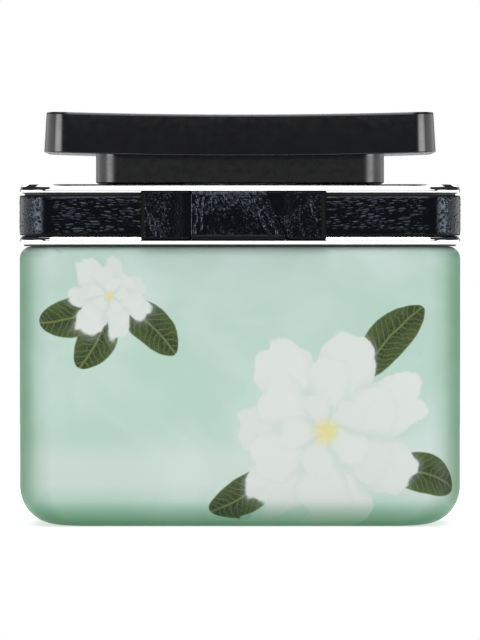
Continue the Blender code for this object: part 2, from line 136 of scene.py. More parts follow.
def add(tree, kind, sockets=None, **fields):
    """Adds a node, sets its fields, and links or sets each of its sockets."""
    made = tree.nodes.new(kind)
    place = len(tree.nodes)
    made.location = (220 * (place % NODES_PER_ROW), -260 * (place // NODES_PER_ROW))
    for field, value in fields.items():
        setattr(made, field, value)
    for key, value in (sockets or {}).items():
        if isinstance(value, bpy.types.NodeSocket):
            tree.links.new(value, made.inputs[key])
        else:
            made.inputs[key].default_value = value
    return made


def calc(tree, operation, a, b=0.0, c=0.0):
    return add(tree, "ShaderNodeMath", {0: a, 1: b, 2: c}, operation=operation).outputs[0]


def times(tree, a, b):
    return calc(tree, "MULTIPLY", a, b)


def plus(tree, a, b):
    return calc(tree, "ADD", a, b)


def minus(tree, a, b):
    return calc(tree, "SUBTRACT", a, b)


def axes(tree, point):
    """A point's three numbers."""
    return add(tree, "ShaderNodeSeparateXYZ", {0: point}).outputs


def flat_point(tree, x, y):
    return add(tree, "ShaderNodeCombineXYZ", {0: x, 1: y}).outputs[0]


def ease(tree, value, low, high):
    """0 where value is at low, 1 where it is at high, with an even curve between."""
    sockets = {"Value": value, "From Min": low, "From Max": high}
    return add(tree, "ShaderNodeMapRange", sockets, interpolation_type="SMOOTHSTEP").outputs[0]


def remap(tree, value, low, high):
    """Stretches a value from 0..1 to low..high, which are numbers or sockets."""
    return add(tree, "ShaderNodeMapRange", {"Value": value, "To Min": low, "To Max": high}).outputs[0]


def blend(tree, share, first, second, mode="MIX"):
    """Mixes two colours."""
    mix = add(tree, "ShaderNodeMix", {0: share, 6: first, 7: second}, data_type="RGBA", blend_type=mode)
    return mix.outputs[2]


def vector(tree, operation, a, b=(0.0, 0.0, 0.0), output=0):
    return add(tree, "ShaderNodeVectorMath", {0: a, 1: b}, operation=operation).outputs[output]


def cloud(tree, place, size_mm, detail=2.0, roughness=0.5, distortion=0.0):
    """A soft noise from 0 to 1 whose lumps are about size_mm across, where place is in millimetres."""
    sockets = {"Vector": place, "Scale": 1 / size_mm, "Detail": detail, "Roughness": roughness}
    sockets["Distortion"] = distortion
    return add(tree, "ShaderNodeTexNoise", sockets).outputs["Fac"]


def place_mm(tree):
    """The point on the piece, in millimetres of the whole bottle."""
    point = add(tree, "ShaderNodeTexCoord").outputs["Object"]
    return vector(tree, "MULTIPLY", point, (1 / MM, 1 / MM, 1 / MM))


ORIGIN = (0.0, 0.0, 0.0)


def new_group(name, inputs, outputs):
    """Starts a node group. Inputs are names with a first value, a number or a point. Outputs are numbers."""
    group = bpy.data.node_groups.new(name, "ShaderNodeTree")
    for title, value in inputs.items():
        kind = "NodeSocketVector" if isinstance(value, tuple) else "NodeSocketFloat"
        group.interface.new_socket(title, in_out="INPUT", socket_type=kind).default_value = value
    for title in outputs:
        group.interface.new_socket(title, in_out="OUTPUT", socket_type="NodeSocketFloat")
    given = group.nodes.new("NodeGroupInput").outputs
    result = group.nodes.new("NodeGroupOutput").inputs
    return group, given, result


def use(tree, group, sockets):
    return add(tree, "ShaderNodeGroup", sockets, node_tree=group).outputs


def give(group, result, values):
    """Links values to a group's outputs."""
    for title, value in values.items():
        group.links.new(value, result[title])


def new_material(name, colour, roughness, metallic=0.0):
    """A Principled material, with its tree and its shader node."""
    material = bpy.data.materials.new(name)
    material.use_nodes = True
    tree = material.node_tree
    shader = tree.nodes["Principled BSDF"]
    shader.inputs["Base Color"].default_value = (*colour, 1.0)
    shader.inputs["Roughness"].default_value = roughness
    shader.inputs["Metallic"].default_value = metallic
    return material, tree, shader


def bump(tree, shader, height, depth_mm):
    """Feeds a height from 0 to 1 to the shader's normal as relief of depth_mm."""
    relief = add(tree, "ShaderNodeBump", {"Strength": 1.0, "Distance": depth_mm * MM, "Height": height})
    tree.links.new(relief.outputs["Normal"], shader.inputs["Normal"])


print("node helpers ready")

# %% [markdown]
# ## Building meshes in code
# Most pieces here are lofts: rows of points, each joined to the next. The glass is a stack of level outlines,
# and the strap is one band profile carried round the bottle. One function makes the mesh from the rows, and
# one draws the rounded rectangle that glass, collar and strap share.

# %% Mesh helpers
def smooth(t):
    """0 below 0, 1 above 1, and an even curve between."""
    t = max(0.0, min(1.0, t))
    return t * t * (3 - 2 * t)


def skin(name, rows, ring=True, sharp_angle=40.0):
    """One closed mesh from rows of points, each row a closed loop. ring also joins the last row to the first.
    Without it, both end rows are filled by strips between the loop's mirrored points."""
    count = len(rows[0])
    points = [point for row in rows for point in row]
    steps = [(low, low + 1) for low in range(len(rows) - 1)]
    if ring:
        steps.append((len(rows) - 1, 0))
    faces = []
    for low, high in steps:
        for i in range(count):
            j = (i + 1) % count
            faces.append((low * count + i, low * count + j, high * count + j, high * count + i))
    if not ring:
        last = (len(rows) - 1) * count
        for i in range(count // 2 - 1):
            left, right = i, count - 1 - i
            faces.append((left, right, right - 1, left + 1))
            faces.append((last + left, last + left + 1, last + right - 1, last + right))
    mesh = bpy.data.meshes.new(name)
    mesh.from_pydata(points, [], faces)
    mesh.shade_smooth()
    mesh.set_sharp_from_angle(angle=math.radians(sharp_angle))
    piece = bpy.data.objects.new(name, mesh)
    bpy.context.scene.collection.objects.link(piece)
    print(f"{name}: {len(points)} points, {len(faces)} faces")
    return piece


def quarter_turn(steps):
    """Angles from 0 to a right angle."""
    return [math.pi / 2 * step / steps for step in range(steps + 1)]


def rounded_outline(half_x, half_y, corner, corner_steps=20, side_steps=1, end_steps=1):
    """(x, y, outward x, outward y) round a rounded rectangle, anticlockwise. Its back mirrors its front."""
    straight_x, straight_y = half_x - corner, half_y - corner
    arc = quarter_turn(corner_steps)
    front = []
    for step in range(1, end_steps):
        front.append((-half_x, -straight_y * (2 * step - 1) / (2 * end_steps - 1), -1.0, 0.0))
    for a in arc:
        out_x, out_y = -math.cos(a), -math.sin(a)
        front.append((-straight_x + corner * out_x, -straight_y + corner * out_y, out_x, out_y))
    for step in range(1, side_steps):
        front.append((-straight_x + 2 * straight_x * step / side_steps, -half_y, 0.0, -1.0))
    for a in arc:
        out_x, out_y = math.sin(a), -math.cos(a)
        front.append((straight_x + corner * out_x, -straight_y + corner * out_y, out_x, out_y))
    for step in range(end_steps - 1, 0, -1):
        front.append((half_x, -straight_y * (2 * step - 1) / (2 * end_steps - 1), 1.0, 0.0))
    return front + [(x, -y, out_x, -out_y) for x, y, out_x, out_y in reversed(front)]


def at_height(outline, z):
    return [(point[0], point[1], z) for point in outline]


def turned(profile, count):
    """Level circles for a list of (radius, height), with the same number of points as an outline."""
    rows = []
    for radius, z in profile:
        angles = [math.pi + 2 * math.pi * (step + 0.5) / count for step in range(count)]
        rows.append([(radius * math.cos(a), radius * math.sin(a), z) for a in angles])
    return rows


def coat_rows(piece, row_length, rows, material):
    """Gives the faces that start at some rows of a loft a second material."""
    piece.data.materials.append(material)
    for row in rows:
        for face in piece.data.polygons[row * row_length:(row + 1) * row_length]:
            face.material_index = 1


def dress(piece, body, slot, material, *nodes):
    """Gives a new piece its finish and its body, and lets it stand for its solids. The slot is not used."""
    piece.data.materials.append(material)
    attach(piece, body)
    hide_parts(*nodes)


print("mesh helpers ready")

# %% [markdown]
# ## Glass
# The real block is blown into a mould: flat faces, upright corners of 6.8 mm, a crisp rounded shoulder and a
# softer foot, with a hollow inside and a neck for the pump. The stack of outlines is the same as the solid's,
# with many more steps, so that the rounded edges catch the light evenly.

# %% Glass mesh
FOOT_RADIUS_X = 8.2 * MM
FOOT_RADIUS_Y = 5.0 * MM
SHOULDER_RADIUS = 2.5 * MM
SIDE_WALL = 4.5 * MM
FACE_WALL = 3.4 * MM
BASE_THICKNESS = 6.0 * MM
SHOULDER_THICKNESS = 3.8 * MM
NECK_RADIUS = 7.9 * MM
NECK_BEAD_RADIUS = 9.0 * MM
NECK_BORE = 5.6 * MM
NECK_FILLET = 0.8 * MM
NECK_BEAD_HEIGHT = 3.6 * MM
LIP_ROUND = 0.4 * MM
HOLLOW_CORNER = 3.8 * MM
HOLLOW_SHOULDER = 2.6 * MM
HOLLOW_FOOT_X = 5.5 * MM
HOLLOW_FOOT_Y = 3.2 * MM
GLASS_STEPS = 16


def foot(half_x, half_y, corner, floor, radius_x, radius_y):
    rows = []
    for angle in quarter_turn(GLASS_STEPS):
        rise = radius_x * (1 - math.cos(angle))
        inset_x = radius_x * (1 - math.sin(angle))
        left = max(0.0, radius_y - rise)
        inset_y = radius_y - math.sqrt(radius_y**2 - left**2)
        rows.append(at_height(rounded_outline(half_x - inset_x, half_y - inset_y, corner), floor + rise))
    return rows


def shoulder(half_x, half_y, corner, top, radius):
    rows = []
    for step in range(GLASS_STEPS // 2 + 1):
        angle = math.pi / GLASS_STEPS * step
        inset = radius * (1 - math.cos(angle))
        outline = rounded_outline(half_x - inset, half_y - inset, corner - inset * 0.5)
        rows.append(at_height(outline, top - radius + radius * math.sin(angle)))
    return rows


outside = foot(HALF_X, HALF_Y, BODY_CORNER, 0.0, FOOT_RADIUS_X, FOOT_RADIUS_Y)
outside += shoulder(HALF_X, HALF_Y, BODY_CORNER, GLASS_TOP, SHOULDER_RADIUS)
neck_top, bead_low = glass_high.z, glass_high.z - NECK_BEAD_HEIGHT
ceiling = GLASS_TOP - SHOULDER_THICKNESS
neck_profile = [
    (NECK_RADIUS + NECK_FILLET, GLASS_TOP),
    (NECK_RADIUS, GLASS_TOP + NECK_FILLET),
    (NECK_RADIUS, bead_low),
    (NECK_BEAD_RADIUS, bead_low + NECK_BEAD_RADIUS - NECK_RADIUS),
    (NECK_BEAD_RADIUS, neck_top - LIP_ROUND),
    (NECK_BEAD_RADIUS - LIP_ROUND, neck_top),
    (NECK_BORE + LIP_ROUND, neck_top),
    (NECK_BORE, neck_top - LIP_ROUND),
    (NECK_BORE, ceiling + NECK_FILLET),
    (NECK_BORE + NECK_FILLET, ceiling),
]
hollow = (HALF_X - SIDE_WALL, HALF_Y - FACE_WALL, HOLLOW_CORNER)
inside = shoulder(*hollow, ceiling, HOLLOW_SHOULDER)[::-1]
inside += foot(*hollow, BASE_THICKNESS, HOLLOW_FOOT_X, HOLLOW_FOOT_Y)[::-1]
glass = skin("printed_glass", outside + turned(neck_profile, len(outside[0])) + inside, ring=False)

# %% [markdown]
# ## The floral print: petals
# The print is drawn by formulas, so it has no pixels. A ring of petals is easy in polar coordinates: the
# angle round the centre, times the number of petals, says which petal a point is in and how far it is from
# that petal's middle. The petal's length then falls off towards its sides. Each petal gets its own random
# length and tone, and a little noise bends the outline, so that no two look alike.

# %% Petal group
def petal_group():
    group, given, result = new_group(
        "Petal ring",
        {"Place": ORIGIN, "Centre": ORIGIN, "Radius": 10.0, "Petals": 6.0, "Turn": 0.0, "Seed": 0.0},
        ["Mask", "Halo", "Shade"],
    )
    seeded = vector(group, "ADD", given["Place"], given["Seed"])
    lumps = add(group, "ShaderNodeTexNoise", {"Vector": seeded, "Scale": 0.16, "Detail": 3.0})
    push = vector(group, "SUBTRACT", lumps.outputs["Color"], (0.5, 0.5, 0.5))
    push = add(group, "ShaderNodeVectorMath", {0: push, "Scale": 4.5}, operation="SCALE").outputs[0]
    offset = vector(group, "ADD", vector(group, "SUBTRACT", given["Place"], given["Centre"]), push)
    parts = axes(group, offset)
    flat = flat_point(group, parts[0], parts[1])
    reach = vector(group, "LENGTH", flat, output=1)
    angle = plus(group, calc(group, "ARCTAN2", parts[1], parts[0]), given["Turn"])
    turns = times(group, calc(group, "DIVIDE", angle, 2 * math.pi), given["Petals"])
    petal = calc(group, "ROUND", turns)
    aside = calc(group, "ABSOLUTE", minus(group, turns, petal))
    number = calc(group, "FLOORED_MODULO", petal, given["Petals"])
    own = add(group, "ShaderNodeTexWhiteNoise", {"W": plus(group, number, given["Seed"])},
              noise_dimensions="1D").outputs["Value"]
    taper = minus(group, 1.0, times(group, calc(group, "POWER", aside, 2.6), 2.3))
    notch = times(group, ease(group, aside, 0.12, 0.0), 0.05)
    length = times(group, minus(group, taper, notch), given["Radius"])
    length = times(group, length, remap(group, own, 0.86, 1.06))
    depth = minus(group, length, reach)
    near = calc(group, "DIVIDE", reach, given["Radius"])
    crease = times(group, ease(group, aside, 0.28, 0.5), ease(group, near, 1.1, 0.5))
    heart = ease(group, near, 0.5, 0.05)
    stripe_place = flat_point(group, times(group, angle, 9.0), near)
    stripes = add(group, "ShaderNodeTexNoise", {"Vector": stripe_place, "Scale": 1.6})
    shade = plus(group, 0.78, times(group, own, 0.22))
    for amount, mask in ((-0.55, crease), (-0.35, heart), (0.25, stripes.outputs["Fac"])):
        shade = calc(group, "MULTIPLY_ADD", mask, amount, shade)
    shade = minus(group, shade, 0.125)
    give(group, result, {
        "Mask": ease(group, depth, -0.35, 0.45),
        "Halo": ease(group, depth, -2.2, 1.0),
        "Shade": shade,
    })
    return group


petals = petal_group()
print("petal group:", len(petals.nodes), "nodes")

# %% [markdown]
# ## The floral print: leaves
# A leaf is drawn along its own axis. The distance along the midrib gives the blade's width there, pointed at
# both ends, and the distance across it gives the midrib, the pale edge and the side veins, which run forward
# at a slant. A cell pattern adds the fine net between the veins.

# %% Leaf group
def leaf_group():
    group, given, result = new_group(
        "Leaf",
        {"Place": ORIGIN, "Root": ORIGIN, "Angle": 0.0, "Length": 12.0, "Width": 7.0},
        ["Mask", "Vein", "Rim", "Shade"],
    )
    offset = vector(group, "SUBTRACT", given["Place"], given["Root"])
    turned_back = times(group, given["Angle"], -1.0)
    local = add(group, "ShaderNodeVectorRotate", {"Vector": offset, "Angle": turned_back},
                rotation_type="Z_AXIS").outputs[0]
    parts = axes(group, local)
    along = calc(group, "DIVIDE", parts[0], given["Length"])
    rest = minus(group, 1.0, along)
    belly = times(group, along, rest)
    wave = cloud(group, given["Place"], 5.0)
    bend = times(group, times(group, belly, given["Width"]), -0.5)
    wave = times(group, minus(group, wave, 0.5), 0.8)
    across = calc(group, "ABSOLUTE", plus(group, plus(group, parts[1], bend), wave))
    fullness = calc(group, "POWER", calc(group, "MAXIMUM", times(group, belly, 4.0), 0.0), 0.62)
    half = times(group, times(group, fullness, given["Width"]), 0.5)
    depth = minus(group, half, across)
    inside_ends = times(group, ease(group, along, 0.0, 0.02), ease(group, rest, 0.0, 0.02))
    slant = minus(group, parts[0], times(group, across, 0.8))
    slant = calc(group, "MULTIPLY_ADD", cloud(group, given["Place"], 2.6), 2.4, slant)
    phase = calc(group, "FRACT", times(group, slant, 0.72))
    side_vein = ease(group, calc(group, "ABSOLUTE", minus(group, phase, 0.5)), 0.16, 0.02)
    midrib = ease(group, across, 0.34, 0.08)
    net = add(group, "ShaderNodeTexVoronoi", {"Vector": given["Place"], "Scale": 1.5},
              feature="DISTANCE_TO_EDGE").outputs["Distance"]
    veins = calc(group, "MAXIMUM", midrib, times(group, side_vein, 0.7))
    veins = calc(group, "MAXIMUM", veins, times(group, ease(group, net, 0.10, 0.0), 0.35))
    give(group, result, {
        "Mask": times(group, ease(group, depth, -0.05, 0.25), inside_ends),
        "Vein": veins,
        "Rim": ease(group, depth, 0.55, 0.10),
        "Shade": times(group, cloud(group, given["Place"], 4.0), ease(group, across, 0.0, 3.0)),
    })
    return group


leaf = leaf_group()
print("leaf group:", len(leaf.nodes), "nodes")

# %% [markdown]
# ## The floral print: putting it on the glass
# The picture is laid out in millimetres on the front face, and carried on round both corners by adding the
# depth to the width. Under the flowers lies a mint watercolour wash. A paler band low on the glass is painted
# light, standing in for light through the thick base. Thick glass looks darker and greener where its faces
# turn away and under the foot; a depth mask made from the surface's own direction paints this into the colour
# as shade at the rounded edges and underneath, with the green partly the glass's own tint. The lacquer's
# finish is satin.

# %% Glass material
PETAL_LIGHT = (0.496, 0.518, 0.504, 1.0)
PETAL_SHADE = (0.376, 0.452, 0.420, 1.0)
LEAF_DARK = (0.0120, 0.0240, 0.0065, 1.0)
LEAF_LIGHT = (0.0480, 0.0790, 0.0190, 1.0)
LEAF_VEIN = (0.0950, 0.1300, 0.0400, 1.0)
LEAF_RIM = (0.0850, 0.1250, 0.0250, 1.0)
WASH_PALE = (0.405, 0.496, 0.466, 1.0)
WASH_DEEP = (0.320, 0.445, 0.384, 1.0)
WASH_TEAL = (0.135, 0.290, 0.250, 1.0)
# A paler colour painted as a band of light low on the glass.
PAINTED_BASE_GLOW = (0.470, 0.515, 0.493, 1.0)
STAMEN = (0.520, 0.470, 0.180, 1.0)
# The darker green multiplied in where the glass is painted with shade.
GLASS_EDGE_SHADE = (0.120, 0.360, 0.170, 1.0)

# Blossoms as (centre across, centre up, radius, seed), in millimetres on the face
FRONT_BLOSSOMS = [(17.5, 19.5, 21.5, 3.0), (-26.5, 47.0, 9.0, 11.0)]
BACK_BLOSSOMS = [(-16.0, 36.0, 13.0, 7.0)]
# Leaves as (root across, root up, angle in degrees, length, width)
FRONT_LEAVES = [
    (-26.0, 46.0, 196.0, 16.0, 8.5),
    (-27.0, 45.0, 246.0, 14.0, 8.0),
    (-24.5, 45.5, 318.0, 15.5, 8.0),
    (29.0, 12.0, -14.0, 17.0, 8.5),
    (8.0, 12.0, 212.0, 17.0, 8.0),
    (24.0, 30.0, 48.0, 20.0, 8.5),
]
BACK_LEAVES = [(-16.0, 34.0, 250.0, 22.0, 9.0), (-14.0, 34.0, 318.0, 20.0, 8.5)]


def paint_leaves(tree, picture, place, leaves, shown):
    for across, up, degrees, length, width in leaves:
        sockets = {"Place": place, "Root": (across, up, 0.0), "Angle": math.radians(degrees)}
        out = use(tree, leaf, {**sockets, "Length": length, "Width": width})
        blade = blend(tree, out["Shade"], LEAF_DARK, LEAF_LIGHT)
        blade = blend(tree, out["Vein"], blade, LEAF_VEIN)
        blade = blend(tree, times(tree, out["Rim"], 0.7), blade, LEAF_RIM)
        picture = blend(tree, times(tree, out["Mask"], shown), picture, blade)
    return picture


def paint_blossoms(tree, picture, place, blossoms, shown):
    for across, up, radius, seed in blossoms:
        for size, count, turn in ((1.0, 7.0, 0.2), (0.74, 6.0, 0.75), (0.44, 5.0, 0.1)):
            sockets = {"Place": place, "Centre": (across, up, 0.0), "Radius": radius * size}
            out = use(tree, petals, {**sockets, "Petals": count, "Turn": turn + seed, "Seed": seed + size})
            halo = times(tree, times(tree, out["Halo"], 0.22), shown)
            picture = blend(tree, halo, picture, PETAL_SHADE)
            colour = blend(tree, out["Shade"], PETAL_SHADE, PETAL_LIGHT)
            picture = blend(tree, times(tree, out["Mask"], shown), picture, colour)
        away = vector(tree, "DISTANCE", place, (across, up, 0.0), output=1)
        ragged = plus(tree, away, times(tree, cloud(tree, place, 1.4), 3.0))
        heart = ease(tree, ragged, 1.5 + radius * 0.18, 1.2 + radius * 0.04)
        picture = blend(tree, times(tree, times(tree, heart, 0.85), shown), picture, STAMEN)
    return picture


def printed_glass():
    material, tree, shader = new_material("printed_glass", (0.5, 0.6, 0.55), 0.42)
    point = place_mm(tree)
    parts = axes(tree, point)
    side = calc(tree, "SIGN", parts[0])
    round_corner = times(tree, plus(tree, parts[1], HALF_Y / MM), side)
    front_across = plus(tree, parts[0], round_corner)
    front = flat_point(tree, front_across, parts[2])
    back = flat_point(tree, times(tree, parts[0], -1.0), parts[2])
    on_front = ease(tree, parts[1], 12.0, 6.0)
    on_back = ease(tree, parts[1], 16.0, 17.5)

    wash = ease(tree, cloud(tree, point, 26.0, 3.0, 0.55, 0.6), 0.34, 0.66)
    picture = blend(tree, wash, WASH_DEEP, WASH_PALE)
    blots = ease(tree, cloud(tree, point, 5.0, 2.0, 0.4), 0.70, 0.76)
    where = ease(tree, cloud(tree, point, 40.0, 1.0), 0.50, 0.60)
    blots = times(tree, times(tree, blots, where), 0.5)
    picture = blend(tree, blots, picture, WASH_TEAL)
    # Painted light: a paler band low on the glass stands in for light through the thick base.
    band = times(tree, ease(tree, parts[2], 4.0, 9.0), ease(tree, parts[2], 19.0, 13.0))
    picture = blend(tree, times(tree, band, 0.55), picture, PAINTED_BASE_GLOW)
    picture = paint_leaves(tree, picture, front, FRONT_LEAVES, on_front)
    picture = paint_blossoms(tree, picture, front, FRONT_BLOSSOMS, on_front)
    picture = paint_leaves(tree, picture, back, BACK_LEAVES, on_back)
    picture = paint_blossoms(tree, picture, back, BACK_BLOSSOMS, on_back)

    # Painted shade: the colour turns darker and greener on the rounded edges and on faces turned down under
    # the foot, standing in for how thick glass looks there; the green is partly the glass's own tint.
    facing = axes(tree, add(tree, "ShaderNodeTexCoord").outputs["Normal"])
    sideways = calc(tree, "POWER", calc(tree, "ABSOLUTE", facing[0]), 1.4)
    under = calc(tree, "MAXIMUM", times(tree, facing[2], -0.95), 0.0)
    under = calc(tree, "MINIMUM", calc(tree, "POWER", under, 0.54), 1.0)
    on_side = ease(tree, calc(tree, "ABSOLUTE", parts[1]), 14.5, 8.0)
    depth = times(tree, calc(tree, "MAXIMUM", sideways, under), remap(tree, on_side, 1.0, 0.35))
    picture = blend(tree, depth, picture, blend(tree, 1.0, picture, GLASS_EDGE_SHADE, "MULTIPLY"))
    tree.links.new(picture, shader.inputs["Base Color"])

    speckle = cloud(tree, point, 0.35, 2.0)
    tree.links.new(remap(tree, speckle, 0.36, 0.48), shader.inputs["Roughness"])
    bump(tree, shader, cloud(tree, point, 7.0, 1.0), 0.012)
    shader.inputs["Specular IOR Level"].default_value = 0.28
    return material


dress(glass, "bottle", "printed_glass", printed_glass(), "glass_bottle")

# %% [markdown]
# ## A shared group: fine unevenness
# No polished surface is perfectly even. Plating, moulded plastic and drawn metal all vary a little in gloss
# from place to place, with a slight ripple that only reflections show. One group gives both, and each
# material sets its own grain size, stretch and range.

# %% Unevenness group
def uneven_group():
    group, given, result = new_group(
        "Fine unevenness",
        {"Place": ORIGIN, "Grain": 2.0, "Low": 0.1, "High": 0.2},
        ["Roughness", "Height"],
    )
    scale = calc(group, "DIVIDE", 1.0, given["Grain"])
    ripple = add(group, "ShaderNodeTexNoise", {"Vector": given["Place"], "Scale": scale, "Detail": 1.0})
    sockets = {"Vector": given["Place"], "Scale": times(group, scale, 6.0), "Detail": 3.0}
    grain = add(group, "ShaderNodeTexNoise", sockets).outputs["Fac"]
    sockets = {"Value": grain, "From Min": 0.3, "From Max": 0.7}
    sockets |= {"To Min": given["Low"], "To Max": given["High"]}
    gloss = add(group, "ShaderNodeMapRange", sockets).outputs[0]
    give(group, result, {"Roughness": gloss, "Height": ripple.outputs["Fac"]})
    return group


uneven = uneven_group()


def uneven_finish(name, colour, metallic, low, high, grain_mm, ripple_mm, stretch=(1.0, 1.0, 1.0), **further):
    """A material whose gloss runs from low to high roughness, with a faint ripple.
    further names other sockets, with _ for each space, and gives their values."""
    material, tree, shader = new_material(name, colour, (low + high) / 2, metallic)
    place = vector(tree, "MULTIPLY", place_mm(tree), stretch)
    out = use(tree, uneven, {"Place": place, "Grain": grain_mm, "Low": low, "High": high})
    tree.links.new(out["Roughness"], shader.inputs["Roughness"])
    bump(tree, shader, out["Height"], ripple_mm)
    for socket, value in further.items():
        shader.inputs[socket.replace("_", " ")].default_value = value
    return material


print("unevenness group:", len(uneven.nodes), "nodes")

# %% [markdown]
# ## Collar
# The collar is cast and chrome plated. Its two rims are bevelled twice to a ridge: the upper bevel mirrors
# the lights above and the lower one the pale table. Round the corners the upper bevel turns away from the
# lights and goes black. Between the rims is the channel for the leather, painted near black as shade, and the
# collar's wall down to the glass gets the same painted shade. One function draws both rims, each with its own
# flats, and rounds their corners a little, as plating does.

# %% Collar mesh
RIM_HEIGHT = 1.8 * MM
RIM_CORNER_STEPS = 28
# Rounds as (tilt where it begins, tilt where it ends, radius in mm), with tilts in degrees from upright
LOW_ROUND = (-80, -31, 0.12)
RIDGE_ROUND = (-31, 22, 0.60)
TOP_ROUND = (22, 52, 0.45)
END_ROUND = (52, 85, 0.15)
RIM_ARC_STEPS = 6
# Each rim's start above its low edge and the flats of its two bevels, in mm
LOWER_RIM_FACE = (0.07, 0.480, 0.350)
UPPER_RIM_FACE = (0.10, 0.050, 0.490)
CHANNEL_DEPTH = 1.0 * MM
COLLAR_WALL_INSET = 2.6 * MM
COLLAR_PLATE = 1.5 * MM
SLEEVE_BORE = 11.8 * MM
SLEEVE_RADIUS = 13.0 * MM
SLEEVE_CHAMFER = 0.3 * MM
# How far in from the glass face the collar's wall drops to the glass, as a seam painted with shade.
SEAM_WALL_INSET = 0.9 * MM


def body_ring(inset, z):
    outline = rounded_outline(HALF_X - inset, HALF_Y - inset, BODY_CORNER - inset, RIM_CORNER_STEPS)
    return at_height(outline, z)


def rim_profile(low, start, lower_flat, upper_flat):
    """(inset, height) up a rim: low round, bevel, ridge, bevel, round, chamfer and end round."""
    rounds = []
    for low_tilt, high_tilt, radius in (LOW_ROUND, RIDGE_ROUND, TOP_ROUND, END_ROUND):
        rounds.append((math.radians(low_tilt), math.radians(high_tilt), radius))
    used = start + sum(radius * (math.sin(end) - math.sin(begin)) for begin, end, radius in rounds)
    used += lower_flat * math.cos(rounds[0][1]) + upper_flat * math.cos(rounds[1][1])
    chamfer = (RIM_HEIGHT / MM - used) / math.cos(rounds[2][1])
    out, up = 0.0, start
    face = [(out, up)]
    for (begin, end, radius), flat in zip(rounds, (lower_flat, upper_flat, chamfer, 0.0)):
        tilts = [begin + (end - begin) * step / RIM_ARC_STEPS for step in range(RIM_ARC_STEPS + 1)]
        for before, after in zip(tilts, tilts[1:]):
            out += radius * (math.cos(after) - math.cos(before))
            up += radius * (math.sin(after) - math.sin(before))
            face.append((out, up))
        if flat > 0:
            out -= flat * math.sin(end)
            up += flat * math.cos(end)
            face.append((out, up))
    ridge = max(out for out, up in face)
    return [((ridge - out) * MM, low + up * MM) for out, up in face]


lower_rim = rim_profile(collar_low.z, *LOWER_RIM_FACE)
upper_rim = rim_profile(collar_high.z - RIM_HEIGHT, *UPPER_RIM_FACE)
channel = [(CHANNEL_DEPTH, lower_rim[-1][1]), (CHANNEL_DEPTH, upper_rim[0][1])]
collar_rows = [body_ring(inset, z) for inset, z in lower_rim + channel + upper_rim]
plate_low = collar_high.z - COLLAR_PLATE
sleeve_profile = [
    (SLEEVE_BORE + SLEEVE_CHAMFER, collar_high.z),
    (SLEEVE_BORE, collar_high.z - SLEEVE_CHAMFER),
    (SLEEVE_BORE, collar_low.z),
    (SLEEVE_RADIUS, collar_low.z),
    (SLEEVE_RADIUS, plate_low),
]
collar_rows += turned(sleeve_profile, len(collar_rows[0]))
collar_rows += [body_ring(COLLAR_WALL_INSET, plate_low), body_ring(COLLAR_WALL_INSET, GLASS_TOP)]
# The wall's last rows drop to the glass as a seam that gets a near-black painted shade.
seam_row = len(collar_rows) - 1
collar_rows += [body_ring(SEAM_WALL_INSET, GLASS_TOP), body_ring(SEAM_WALL_INSET, collar_low.z)]
collar = skin("chrome_collar", collar_rows)
chrome = uneven_finish("chrome", (0.86, 0.86, 0.87), 1.0, 0.03, 0.08, 6.0, 0.002)
# Painted shade: a near-black matte finish put in the channel and on the seam under the collar, where shade
# falls.
slot_shade_paint = uneven_finish("slot_shade_paint", (0.012, 0.014, 0.013), 0.0, 0.5, 0.7, 2.0, 0.01)
dress(collar, "bottle", "chrome", chrome, "collar")
channel_row = len(lower_rim) - 1
shaded_rows = [channel_row, channel_row + 1, channel_row + 2, seam_row, seam_row + 1, seam_row + 2]
coat_rows(collar, len(collar_rows[0]), shaded_rows, slot_shade_paint)

# %% [markdown]
# ## Leather relief
# Leather is covered with pebbles that stand between fine creases. A cell pattern gives them: the difference
# between the distances to the nearest and the second nearest cell centre is zero on a crease and grows
# towards the pebble's middle. Stretched sideways, the same pattern becomes the pulled wrinkles of a strap
# under tension. It is real relief in the mesh here, so that it shows from every side.

# %% Leather relief
def pebbles(along, across, long_mm, short_mm, seed, softness=0.8):
    """0 in a crease and 1 on a pebble, for a point on the leather in metres."""
    drift = noise.noise(Vector((along / (4 * MM), across / (2 * MM), seed)))
    spot = Vector((along / (long_mm * MM) + drift, across / (short_mm * MM) + 0.9 * drift, 3.7 * seed))
    distances = noise.voronoi(spot)[0]
    return smooth((distances[1] - distances[0]) / softness)


def swell(along, across, size_mm, seed):
    """A slow rise and fall from 0 to 1."""
    return 0.5 + 0.5 * noise.noise(Vector((along / (size_mm * MM), across / (size_mm * MM), seed)))


print("pebble height at three points:", [round(pebbles(x * MM, 0.0, 1.4, 0.5, 2.0), 2) for x in (0, 1, 2)])

# %% [markdown]
# ## Strap
# The strap is one band glued into the channel, pulled tight round the corners. Its pebbles are drawn out
# sideways and sag towards the bow, and its lower edge near the bow is folded under and stays plain. Its
# profile goes round the lower edge, up the face, round the upper edge and down the back of the band.

# %% Strap mesh
STRAP_ROUND = 0.25 * MM
STRAP_THICKNESS = 1.0 * MM
STRAP_RELIEF = 0.12 * MM
STRAP_ROWS = 96
STRAP_CROWN = 0.05 * MM
STRAP_TOP = strap_high.z - 0.35 * MM
CROWN_WIDTH = 0.9 * MM
ROUND_STEPS = 3
HEM_HEIGHT = 1.2 * MM
SAG_SLOPE = 0.30
SAG_START = 37.0
SAG_LENGTH = 17.0
# Where the corner's own pebbles begin and where the plain patch before them lies, in mm from the middle
CORNER_START = 40.2
PATCH_START = 37.0
PATCH_END = 41.0
# Steps round a corner, along the front and along an end
STRAP_OUTLINE_STEPS = (70, 200, 20)


